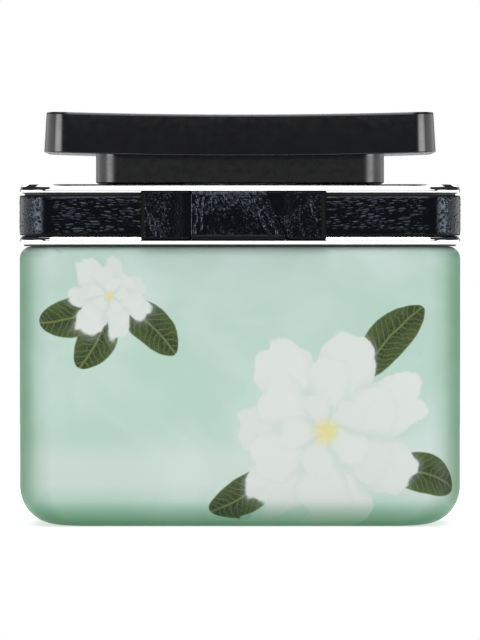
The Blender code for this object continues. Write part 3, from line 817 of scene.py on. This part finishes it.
def band_profile(low, high, thickness, radius, rows, fade):
    """(inset, height, relief share) round a band: up its face, then back down."""
    turns = quarter_turn(ROUND_STEPS)[:-1]
    profile = [(radius * (1 - math.sin(a)), low + radius * (1 - math.cos(a)), 0.0) for a in turns]
    for row in range(rows + 1):
        z = low + radius + (high - low - 2 * radius) * row / rows
        from_edge = min(z - low, high - z) - radius
        profile.append((0.0, z, smooth(from_edge / fade)))
    profile += [(radius * (1 - math.sin(a)), high - radius * (1 - math.cos(a)), 0.0) for a in reversed(turns)]
    return profile + [(thickness, high, 0.0), (thickness, low, 0.0)]


def sag(x):
    """How far the wrinkles have come down at x, in metres."""
    share = max(0.0, min(1.0, (SAG_START - abs(x) / MM) / SAG_LENGTH))
    return SAG_SLOPE * SAG_LENGTH * share**2 / 2 * MM


def strap_relief(x, y, run, z):
    """The strap's relief at a point, where run is the distance along the band."""
    in_front = smooth((-y - HALF_Y + BODY_CORNER) / BODY_CORNER)
    across = z + sag(x) * in_front
    height = pebbles(run, across, 1.5, 0.46, 2.0, 1.0) * (0.45 + 1.1 * swell(run, z, 2.2, 5.0))
    reach = abs(x) / MM
    at_corner = smooth((reach - CORNER_START) / 0.8) * in_front
    height += at_corner * (1.5 * pebbles(run, z, 0.55, 0.6, 4.0, 1.0) - height)
    plain_patch = smooth((reach - PATCH_START) / 1.6) * smooth((PATCH_END - reach) / 0.7) * in_front
    towards_bow = smooth((37 - reach) / 16)
    hem_top = strap_low.z + HEM_HEIGHT * (0.45 + 0.55 * towards_bow)
    hem = smooth((hem_top - z) / (0.3 * MM)) * smooth((38 - reach) / 2) * in_front
    return height * (1 - 0.85 * plain_patch) * (1 - 0.95 * hem)


strap_half_x, strap_half_y = strap_high.x - 1.5 * STRAP_RELIEF, strap_high.y - 1.5 * STRAP_RELIEF
outline = rounded_outline(strap_half_x, strap_half_y, BODY_CORNER, *STRAP_OUTLINE_STEPS)
runs = [0.0]
for here, there in zip(outline, outline[1:]):
    runs.append(runs[-1] + math.dist(here[:2], there[:2]))
strap_rows = []
profile = band_profile(strap_low.z, STRAP_TOP, STRAP_THICKNESS, STRAP_ROUND, STRAP_ROWS, 0.25 * MM)
for inset, z, share in profile:
    from_edge = min(z - strap_low.z, STRAP_TOP - z)
    crown = STRAP_CROWN * (1 - smooth(from_edge / CROWN_WIDTH))
    row = []
    for (x, y, out_x, out_y), run in zip(outline, runs):
        out = -inset - crown
        if share > 0:
            out += STRAP_RELIEF * share * strap_relief(x, y, run, z)
        row.append((x + out_x * out, y + out_y * out, z))
    strap_rows.append(row)
strap = skin("leather_strap", strap_rows, sharp_angle=180.0)

# %% [markdown]
# ## Bow
# The bow is flat: a band folded back at both ends, with a short band wrapped round its middle as the knot.
# Seen from above, the band is a long closed loop, pressed together under the knot and bulging a little on
# both sides of it. The wrap's right edge runs at a slant, as the leather pulls.

# %% Bow sizes and path
BOW_LEATHER = 0.7 * MM
KNOT_LEATHER = 0.6 * MM
LAYER_GAP = 0.2 * MM
BOW_BULGE = 0.8 * MM
BOW_DROOP = 0.3 * MM
BOW_WAIST = 4.0 * MM
KNOT_SLANT = 2.0 * MM
FOLD_REACH = 1.2 * MM

bow_half_width = (loops_high.x - loops_low.x) / 2
bow_half_height = (loops_high.z - loops_low.z) / 2
bow_middle = (loops_low + loops_high) / 2
knot_half_width = (knot_high.x - knot_low.x) / 2
knot_half_height = (knot_high.z - knot_low.z) / 2
waist_back = KNOT_LEATHER + 2 * LAYER_GAP + BOW_LEATHER / 2
waist_front = waist_back + BOW_LEATHER + LAYER_GAP


def bow_layer(u, front):
    """The distance of a layer's middle in front of the strap, at u from the bow's middle."""
    away = smooth((abs(u) - knot_half_width) / (5.0 * MM))
    if not front:
        return waist_back + (LAYER_GAP + BOW_LEATHER / 2 - waist_back) * away
    droop = BOW_DROOP * smooth((abs(u) - 14.0 * MM) / (4.5 * MM))
    return waist_front + BOW_BULGE * away - droop


def bow_path(front_steps=300, back_steps=60, fold_steps=14):
    """(u, distance in front of the strap) once round: back layer, right fold, front layer, left fold."""
    fold_u = bow_half_width - FOLD_REACH
    middle = (bow_layer(fold_u, True) + bow_layer(fold_u, False)) / 2
    rise = (bow_layer(fold_u, True) - bow_layer(fold_u, False)) / 2
    reach = bow_half_width - BOW_LEATHER / 2 - fold_u
    path = []
    for side, steps in ((1, back_steps), (-1, front_steps)):
        for step in range(steps + 1):
            u = side * fold_u * (2 * step / steps - 1)
            path.append((u, bow_layer(u, side < 0)))
        for step in range(1, fold_steps):
            angle = math.pi * step / fold_steps
            fold_x = side * (fold_u + reach * math.sin(angle))
            path.append((fold_x, middle - side * rise * math.cos(angle)))
    return path


def in_front_of_strap(u, forward, z):
    return (bow_middle.x + u, STRAP_FRONT - forward, z)


print(f"bow {2000 * bow_half_width:.1f} mm wide, {2000 * bow_half_height:.1f} mm high")

# %% [markdown]
# Creases are drawn as soft grooves along short lines. The bow has a few at its outer lower corners, where
# the band was folded, and the knot has long slanted ones where it is pulled tight.

# %% Creases
# Lines as (across, up, across, up) in millimetres from the bow's middle
LOOP_CREASES = [
    (-18.0, 1.5, -15.8, -4.5), (-16.9, 0.2, -14.8, -4.6), (-15.6, -1.0, -13.9, -4.7),
    (-14.0, 2.5, -14.6, -2.0), (15.5, 3.0, 16.8, -1.0), (13.0, 1.0, 14.0, -4.0),
]
KNOT_CREASES = [
    (5.0, 4.4, 9.0, -4.4), (3.6, 4.2, 7.2, -4.2), (-7.4, 3.8, -7.8, -3.8), (-6.2, 3.6, -6.8, -3.0),
    (-4.6, 3.4, -5.4, 0.2), (-3.2, 3.6, -4.2, 1.0), (-1.2, 3.8, -2.8, 1.2), (0.6, 3.6, -1.2, 1.4),
    (1.0, 3.8, 2.4, 1.0), (3.0, 3.0, 4.4, 0.0),
]
CREASE_WIDTH = 0.2


def creases(u, rise, lines):
    """How deep the nearest crease is at a point, from 0 to 1."""
    x, z = u / MM, rise / MM
    x += 0.5 * noise.noise(Vector((x / 1.5, z / 1.5, 21.0)))
    deepest = 0.0
    for x0, z0, x1, z1 in lines:
        span_x, span_z = x1 - x0, z1 - z0
        share = ((x - x0) * span_x + (z - z0) * span_z) / (span_x**2 + span_z**2)
        held = max(0.0, min(1.0, share))
        gap = math.hypot(x - x0 - held * span_x, z - z0 - held * span_z)
        deepest = max(deepest, math.exp(-((gap / CREASE_WIDTH) ** 2)))
    return deepest


print("creases:", len(LOOP_CREASES) + len(KNOT_CREASES))

# %% [markdown]
# The band's outer face carries the relief, and its inner face only needs a few rows. The band is narrower
# under the knot, and its lower edge stays narrow a little longer on the right, under the wrap's slant.

# %% Bow mesh
BOW_RELIEF = 0.09 * MM
BOW_EDGE = 0.15 * MM
BOW_EDGE_SHARE = 0.07
OUTER_STEPS = 96
INNER_STEPS = 5


def loop_half_height(u, upper):
    """Half the band's height at u, for its upper or its lower edge."""
    knot_end = knot_half_width
    if u > 0:
        knot_end += -KNOT_SLANT if upper else KNOT_SLANT
    spread = smooth((abs(u) - knot_end + 0.3 * MM) / (1.0 * MM))
    return BOW_WAIST + (bow_half_height - BOW_WAIST) * spread


def loop_relief(u, rise, run):
    """Pebbles on the loops, fading to smooth leather where they dive under the knot."""
    x, z = u / MM, rise / MM
    plain_left = smooth((x + 13.2) / 1.4) * smooth((-x - 6.0) / 1.0)
    plain_right = smooth((x - 6.0) / 1.0) * smooth((12.6 - x) / 1.2) * smooth((z + 1.0) / 2.0)
    size = 0.46 if u > 0 else 0.58
    height = pebbles(run, rise, size, size * 0.9, 8.0, 1.0) * (0.5 + swell(run, rise, 2.5, 4.0))
    height *= 1 - 0.93 * max(plain_left, plain_right)
    return height - 1.2 * creases(u, rise, LOOP_CREASES)


path = bow_path()
path_runs = [0.0]
for here, there in zip(path, path[1:]):
    path_runs.append(path_runs[-1] + math.dist(here, there))
outward = []
for i in range(len(path)):
    ahead, behind = path[(i + 1) % len(path)], path[i - 1]
    along = Vector((ahead[0] - behind[0], ahead[1] - behind[1])).normalized()
    outward.append(Vector((along.y, -along.x)))

loop_rows = []
shares = [(2 * step / OUTER_STEPS - 1, 1) for step in range(OUTER_STEPS + 1)]
shares += [(1 - 2 * step / INNER_STEPS, -1) for step in range(INNER_STEPS + 1)]
for share, side in shares:
    row = []
    from_edge = smooth((1 - abs(share)) / BOW_EDGE_SHARE)
    for (u, forward), out, run in zip(path, outward, path_runs):
        rise = share * loop_half_height(u, share > 0)
        offset = BOW_LEATHER / 2 - BOW_RELIEF - BOW_EDGE * (1 - from_edge)
        if side > 0 and from_edge > 0:
            offset += BOW_RELIEF * from_edge * loop_relief(u, rise, run)
        shift = out * side * offset
        row.append(in_front_of_strap(u + shift.x, forward + shift.y, bow_middle.z + rise))
    loop_rows.append(row)
loops = skin("bow_band", loop_rows, sharp_angle=180.0)

# %% [markdown]
# The knot is a tube with a rounded, flattened section, slid over the bow. Each row of its mesh is that
# section at one place along the bow, and the crown makes it fuller in the middle. Its front leans over on
# the right, where it lies up on the rising loop.

# %% Knot mesh
KNOT_RELIEF = 0.11 * MM
KNOT_CROWN = 0.4 * MM
KNOT_EDGE = 0.15 * MM
KNOT_STATIONS = 150
KNOT_INNER_STATIONS = 12

knot_inner_front = waist_front + BOW_LEATHER / 2 + LAYER_GAP
knot_inner_back = LAYER_GAP + KNOT_LEATHER
knot_centre = (knot_inner_front + knot_inner_back) / 2
knot_inner_half = (knot_inner_front - knot_inner_back) / 2


def knot_relief(u, rise):
    height = pebbles(rise, u, 0.95, 0.55, 12.0, 1.0) * (0.3 + 1.4 * swell(u, rise, 2.4, 9.0))
    return height - 1.2 * creases(u, rise, KNOT_CREASES)


def knot_rows(grow, corner, stations):
    """Rows of the wrap's section, from its left edge to its right, grown outwards by grow."""
    half_height = knot_half_height - KNOT_LEATHER + grow
    section = rounded_outline(half_height, knot_inner_half + grow, corner, 8, 88, 5)
    rows = []
    for station in stations:
        row = []
        for rise, forward, _, _ in section:
            in_front = smooth(forward / knot_inner_half)
            right_edge = knot_half_width - KNOT_SLANT * rise / half_height * in_front
            u = -knot_half_width + (right_edge + knot_half_width) * (station + 1) / 2
            lift = KNOT_CROWN * (1 - station**2) * (1 - (rise / half_height) ** 2)
            lift += max(0.0, bow_layer(u, True) - waist_front) if u > 0 else 0.0
            if grow > 0:
                from_edge = smooth((1 - abs(station)) / 0.04)
                lift += (KNOT_RELIEF * from_edge * (knot_relief(u, rise) - 1.0) - KNOT_EDGE * (1 - from_edge))
            row.append(in_front_of_strap(u, knot_centre + forward + lift * in_front, bow_middle.z + rise))
        rows.append(row)
    return rows


outer_stations = [2 * step / KNOT_STATIONS - 1 for step in range(KNOT_STATIONS + 1)]
inner_stations = [1 - 2 * step / KNOT_INNER_STATIONS for step in range(KNOT_INNER_STATIONS + 1)]
outer_knot = knot_rows(KNOT_LEATHER, 0.8 * MM, outer_stations)
knot = skin("bow_wrap", outer_knot + knot_rows(0.0, 0.4 * MM, inner_stations), sharp_angle=180.0)

# %% [markdown]
# ## Leather material
# Black leather is nearly black, with a faint blue cast from its dye, and what one sees is its gloss. The
# relief in the mesh does most of the work. The group adds what is finer than the mesh: pores and hair-fine
# creases as bump, and tops of pebbles that are rubbed a little glossier than the creases between them.

# %% Leather group and materials
def leather_group():
    group, given, result = new_group(
        "Leather grain",
        {"Place": ORIGIN, "Pebble": 0.5, "Crease Roughness": 0.6, "Top Roughness": 0.35},
        ["Height", "Roughness", "Pebble Top"],
    )
    scale = calc(group, "DIVIDE", 1.0, given["Pebble"])
    wander = add(group, "ShaderNodeTexNoise", {"Vector": given["Place"], "Scale": scale, "Detail": 2.0})
    sockets = {0: 0.22, 4: given["Place"], 5: wander.outputs["Color"]}
    mixed = add(group, "ShaderNodeMix", sockets, data_type="VECTOR")
    sockets = {"Vector": mixed.outputs[1], "Scale": scale}
    cells = add(group, "ShaderNodeTexVoronoi", sockets, feature="DISTANCE_TO_EDGE").outputs["Distance"]
    tops = ease(group, cells, 0.0, 0.22)
    pores = add(group, "ShaderNodeTexNoise", {"Vector": given["Place"], "Scale": 7.0, "Detail": 3.0})
    height = calc(group, "MULTIPLY_ADD", pores.outputs["Fac"], 0.25, tops)
    gloss = remap(group, tops, given["Crease Roughness"], given["Top Roughness"])
    give(group, result, {"Height": height, "Roughness": gloss, "Pebble Top": tops})
    return group


leather = leather_group()


def leather_finish(name, stretch, depth_mm):
    material, tree, shader = new_material(name, (0.0012, 0.0018, 0.0035), 0.2)
    shader.inputs["Specular IOR Level"].default_value = 0.34
    shader.inputs["Specular Tint"].default_value = (0.72, 0.82, 1.0, 1.0)
    place = vector(tree, "MULTIPLY", place_mm(tree), stretch)
    sockets = {"Place": place, "Pebble": 0.36, "Crease Roughness": 0.18, "Top Roughness": 0.09}
    out = use(tree, leather, sockets)
    # The base colour is a little darker in the creases than on the pebble tops.
    crease_toned_base = blend(tree, out["Pebble Top"], (0.0001, 0.0002, 0.0004, 1.0), (0.0005, 0.0008, 0.0016, 1.0))
    tree.links.new(crease_toned_base, shader.inputs["Base Color"])
    tree.links.new(out["Roughness"], shader.inputs["Roughness"])
    bump(tree, shader, out["Height"], depth_mm)
    return material


strap_leather = leather_finish("strap_leather", (0.4, 0.4, 1.0), 0.006)
bow_leather = leather_finish("bow_leather", (1.0, 1.0, 1.0), 0.007)
dress(strap, "bottle", "black_leather", strap_leather, "strap")
dress(loops, "bottle", "black_leather", bow_leather, "bow_loops")
dress(knot, "bottle", "black_leather", bow_leather, "bow_knot")

DARK_FOLD = 1.1 * MM
DARK_HEM = 0.55 * MM
edge_paint = uneven_finish("edge_paint", (0.0020, 0.0022, 0.0028), 0.0, 0.5, 0.7, 1.0, 0.01,
                           Specular_IOR_Level=0.1)
strap_edges = list(range(ROUND_STEPS)) + list(range(ROUND_STEPS + STRAP_ROWS, len(strap_rows)))
coat_rows(strap, len(strap_rows[0]), strap_edges, edge_paint)
loop_edges = [0, 1, 2, *range(OUTER_STEPS - 3, OUTER_STEPS + 1), len(loop_rows) - 1]
coat_rows(loops, len(loop_rows[0]), loop_edges, edge_paint)
fold_ends = {i for i, (u, _) in enumerate(path) if abs(u) > bow_half_width - DARK_FOLD}
for number, face in enumerate(loops.data.polygons):
    if number % len(path) in fold_ends:
        face.material_index = 1
coat_rows(knot, len(outer_knot[0]), (KNOT_STATIONS, KNOT_STATIONS + KNOT_INNER_STATIONS + 1), edge_paint)
hem_top = bow_middle.z - knot_half_height + DARK_HEM
for face in knot.data.polygons:
    if face.center.z < hem_top:
        face.material_index = 1

# %% [markdown]
# ## Cap
# The cap is one moulding: a wide plate on a narrower skirt. The plate dips a little towards its middle, above
# and below, and leans in a touch towards its top. Its edges have a small round, which draws a thin light line
# round the plate. It is lofted from the inside of the skirt, round the mouth, out under the plate and over
# its top edge.

# %% Cap mesh
SKIRT_HALF_X = 29.5 * MM
SKIRT_HALF_Y = 13.4 * MM
SKIRT_WALL = 1.6 * MM
CAP_CORNER = 5.2 * MM
PLATE_DRAFT = 0.45 * MM
PLATE_LOW = 75.55 * MM
PLATE_SAG_LOW = 0.70 * MM
PLATE_SAG_TOP = 0.65 * MM
PLATE_ROUND = 0.5 * MM
UNDER_ROUND = 0.25 * MM
CAP_CEILING = 81.9 * MM
CAP_STEPS = 8
MOUTH_CHAMFER = 0.2 * MM
# The top edge is drawn in, where the dip would lower it by this much
TOP_ALLOWANCE = 0.03 * MM
# How much rougher the skirt is than the plate
SKIRT_SATIN = 0.12
plate_half_x, plate_half_y = cap_high.x, cap_high.y
cap_top = cap_high.z + TOP_ALLOWANCE


def plate_low(x):
    return PLATE_LOW + PLATE_SAG_LOW * (x / plate_half_x) ** 2


def plate_top(x):
    return cap_top - PLATE_SAG_TOP * (1 - (x / plate_half_x) ** 2)


def cap_outline(half_x, half_y, corner):
    return rounded_outline(half_x, half_y, corner, 24, 40)


def plate_edge(inset, height, lift):
    """The plate's outline drawn in by inset, at the height of its face plus lift."""
    edge = cap_outline(plate_half_x - inset, plate_half_y - inset, CAP_CORNER - inset)
    return [(p[0], p[1], height(p[0]) + lift) for p in edge]


inner = cap_outline(SKIRT_HALF_X - SKIRT_WALL, SKIRT_HALF_Y - SKIRT_WALL, CAP_CORNER - SKIRT_WALL)
skirt = cap_outline(SKIRT_HALF_X, SKIRT_HALF_Y, CAP_CORNER)
mouth = cap_outline(SKIRT_HALF_X - MOUTH_CHAMFER, SKIRT_HALF_Y - MOUTH_CHAMFER, CAP_CORNER - MOUTH_CHAMFER)
cap_rows = [at_height(inner, CAP_CEILING), at_height(inner, cap_low.z), at_height(mouth, cap_low.z)]
cap_rows += [at_height(skirt, cap_low.z + MOUTH_CHAMFER), [(p[0], p[1], plate_low(p[0])) for p in skirt]]
for angle in quarter_turn(CAP_STEPS):
    rise = UNDER_ROUND * (1 - math.cos(angle))
    cap_rows.append(plate_edge(UNDER_ROUND * (1 - math.sin(angle)), plate_low, rise))
for angle in quarter_turn(CAP_STEPS):
    drop = PLATE_ROUND * (1 - math.sin(angle))
    cap_rows.append(plate_edge(PLATE_DRAFT + PLATE_ROUND * (1 - math.cos(angle)), plate_top, -drop))
cap = skin("cap_moulding", cap_rows, ring=False)
black_gloss = uneven_finish("black_gloss", (0.0022, 0.0025, 0.0031), 0.0, 0.13, 0.20, 9.0, 0.004)
cap_tree = black_gloss.node_tree
cap_shader = cap_tree.nodes["Principled BSDF"]
height_mm = axes(cap_tree, place_mm(cap_tree))[2]
on_skirt = ease(cap_tree, height_mm, PLATE_LOW / MM + 0.2, PLATE_LOW / MM - 0.2)
gloss = cap_shader.inputs["Roughness"].links[0].from_socket
gloss = calc(cap_tree, "MULTIPLY_ADD", on_skirt, SKIRT_SATIN, gloss)
cap_tree.links.new(gloss, cap_shader.inputs["Roughness"])
dress(cap, "bottle", "black_gloss", black_gloss, "cap")

# %% [markdown]
# ## The pump under the cap
# All pump parts but the spring keep their solids, which already have the right shape, and get their finishes
# here: spun aluminium for ferrule and button, milky plastic for housing, stem, tube and nozzle, drawn steel
# for the ball and later the spring, dull rubber for the gasket, and black plastic for the cap's insert. All
# are the shared unevenness with other values. Spun metal has its grain squeezed into fine rings.

# %% Pump finishes
FINE_RINGS = (0.05, 0.05, 6.0)


def refinish(material, *names):
    """Gives solids that keep their shape a new finish."""
    for name in names:
        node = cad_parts[name]
        node.data.materials.clear()
        node.data.materials.append(material)


spun_aluminium = uneven_finish("spun_aluminium", (0.78, 0.78, 0.79), 1.0, 0.22, 0.36, 3.0, 0.01, FINE_RINGS)
drawn_steel = uneven_finish("drawn_steel", (0.56, 0.57, 0.59), 1.0, 0.2, 0.32, 0.6, 0.004)
insert_plastic = uneven_finish("insert_plastic", (0.018, 0.018, 0.020), 0.0, 0.42, 0.55, 1.2, 0.01)
gasket_rubber = uneven_finish("gasket_rubber", (0.16, 0.16, 0.165), 0.0, 0.65, 0.85, 0.8, 0.02)
milky_plastic = uneven_finish("milky_plastic", (0.74, 0.75, 0.74), 0.0, 0.28, 0.4, 1.5, 0.008,
                              Subsurface_Weight=0.35, Subsurface_Radius=(0.8, 0.9, 1.0), Subsurface_Scale=MM)

refinish(spun_aluminium, "ferrule", "spray_button")
refinish(drawn_steel, "valve_ball")
refinish(insert_plastic, "cap_insert")
refinish(gasket_rubber, "neck_gasket")
refinish(milky_plastic, "pump_housing", "piston_stem", "dip_tube", "nozzle_insert")
print("pump solids finished: ferrule, button, ball, insert, gasket, housing, stem, tube, nozzle")

# %% [markdown]
# The spring has to shorten when the button is pressed, which a kept solid can't do. A new coil of the same
# wire takes its place: a small circle is carried up a helix.

# %% Spring mesh
SPRING_TURNS = 5
STEPS_PER_TURN = 30
WIRE_RADIUS = 0.3 * MM
WIRE_SIDES = 10
spring_low, spring_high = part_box("pump_spring")
coil_radius = spring_high.x - WIRE_RADIUS
spring_length = spring_high.z - spring_low.z
climb = spring_length - 2 * WIRE_RADIUS
spring_rows = []
for step in range(SPRING_TURNS * STEPS_PER_TURN + 1):
    angle = 2 * math.pi * step / STEPS_PER_TURN
    outward = Vector((math.cos(angle), math.sin(angle), 0.0))
    rise = WIRE_RADIUS + climb * step / (SPRING_TURNS * STEPS_PER_TURN)
    centre = outward * coil_radius + Vector((0.0, 0.0, spring_low.z + rise))
    sides = [2 * math.pi * (side + 0.5) / WIRE_SIDES for side in range(WIRE_SIDES)]
    ring = [outward * math.cos(turn) - Vector((0.0, 0.0, math.sin(turn))) for turn in sides]
    spring_rows.append([centre + WIRE_RADIUS * point for point in ring])
spring = skin("coil_spring", spring_rows, ring=False)
dress(spring, "bottle", "spring_steel", drawn_steel, "pump_spring")
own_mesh(spring)

# %% [markdown]
# ## Floor and light
# The bottle stands on a plain pale table. Shiny things show what is round them, so the light is planned as
# what each surface mirrors: a dim front keeps the cap's face dark, a low soft light at each front side draws
# the bright lines on the corners, panels above the camera whiten the rims and glint on the leather, and pale
# surroundings close the room. The world holds these lights as patches of brightness by direction, and shows
# plain white behind.

# %% Floor
TABLE_HALF_WIDTH = 0.45
TABLE_FRONT = -0.17
TABLE_BACK = 0.55
floor_mesh = bpy.data.meshes.new("table_top")
corners = [(-1, TABLE_FRONT), (1, TABLE_FRONT), (1, TABLE_BACK), (-1, TABLE_BACK)]
floor_mesh.from_pydata([(x * TABLE_HALF_WIDTH, y, 0.0) for x, y in corners], [], [(0, 1, 2, 3)])
floor = bpy.data.objects.new("table_top", floor_mesh)
bpy.context.scene.collection.objects.link(floor)
floor_material, _, floor_shader = new_material("pale_table", (0.90, 0.90, 0.90), 0.6)
floor_shader.inputs["Emission Color"].default_value = (1.0, 1.0, 1.0, 1.0)
floor_shader.inputs["Emission Strength"].default_value = 0.5
floor.data.materials.append(floor_material)
floor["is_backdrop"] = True

# %% [markdown]
# The sky starts from a base glow, dim in front, pale at the sides and nearly black high up. Each light then
# adds a window of brightness: full between two angles across and two angles up, and fading at its edges. The
# left and the right are alike, since the angles are measured without their sign. Light Path tells what the
# camera sees itself, which is plain white.

# %% World light
def window(tree, value, low, high, soft):
    """1 between low and high, fading to 0 over soft outside them."""
    rising = ease(tree, value, low - soft, low)
    return times(tree, rising, ease(tree, value, high + soft, high))


world = bpy.data.worlds.new("studio")
world.use_nodes = True
sky = world.node_tree
parts = axes(sky, add(sky, "ShaderNodeTexCoord").outputs["Generated"])
degree = math.radians(1.0)
elevation = calc(sky, "DIVIDE", calc(sky, "ARCSINE", parts[2]), degree)
sideways = calc(sky, "ABSOLUTE", parts[0])
azimuth = calc(sky, "DIVIDE", calc(sky, "ARCTAN2", sideways, times(sky, parts[1], -1.0)), degree)

FRONT_GLOW = 0.2
ROOM_GLOW = 1.8
BACK_GLOW = 0.35
CEILING_GLOW = 1.2
UPPER_DARK = 0.03
low_sky = ease(sky, elevation, 15.0, 6.0)
room = remap(sky, ease(sky, azimuth, 66.0, 80.0), FRONT_GLOW, ROOM_GLOW)
behind = ease(sky, azimuth, 128.0, 158.0)
room = remap(sky, behind, room, BACK_GLOW)
room = remap(sky, low_sky, UPPER_DARK, room)
across = calc(sky, "DIVIDE", calc(sky, "ARCTAN2", sideways, calc(sky, "ABSOLUTE", parts[1])), degree)
# Each light as (name, the angle it spans, from, to, fade, elevation from, to, fade, strength), in degrees
LIGHTS = [
    ("side light", azimuth, 46.0, 61.0, 15.0, -5.0, 9.0, 4.0, 8.0),
    ("top panel", across, -1.0, 11.0, 2.0, 17.0, 62.0, 4.0, 1.3),
    ("key light", across, -1.0, 10.0, 4.0, 60.0, 72.0, 3.0, 10.0),
    ("low key", across, -1.0, 22.0, 6.0, 17.0, 32.0, 3.0, 2.8),
]
light = room
for name, angle, low, high, fade, bottom, top, edge, strength in LIGHTS:
    mask = times(sky, window(sky, angle, low, high, fade), window(sky, elevation, bottom, top, edge))
    light = calc(sky, "MULTIPLY_ADD", mask, strength, light)
    print(f"{name}: strength {strength}, up to {top:.0f} degrees high")
light = calc(sky, "MULTIPLY_ADD", ease(sky, elevation, 54.0, 58.0), CEILING_GLOW, light)
seen = add(sky, "ShaderNodeLightPath").outputs["Is Camera Ray"]
light = remap(sky, seen, light, 1.0)
background = sky.nodes["Background"]
sky.links.new(light, background.inputs["Strength"])
background.inputs["Color"].default_value = (1.0, 1.0, 1.0, 1.0)
bpy.context.scene.world = world
print("world light:", len(sky.nodes), "nodes")

# %% [markdown]
# ## The size
# The dressed bottle has to stay the size of its solids. Both boxes are printed, in millimetres.

# %% Print the boxes and finish
visual_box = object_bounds()
boxes = {"cad": [list(corner) for corner in cad_box], "visual": [list(corner) for corner in visual_box]}
print("boxes in mm:", {name: [[round(1000 * v, 2) for v in c] for c in box] for name, box in boxes.items()})
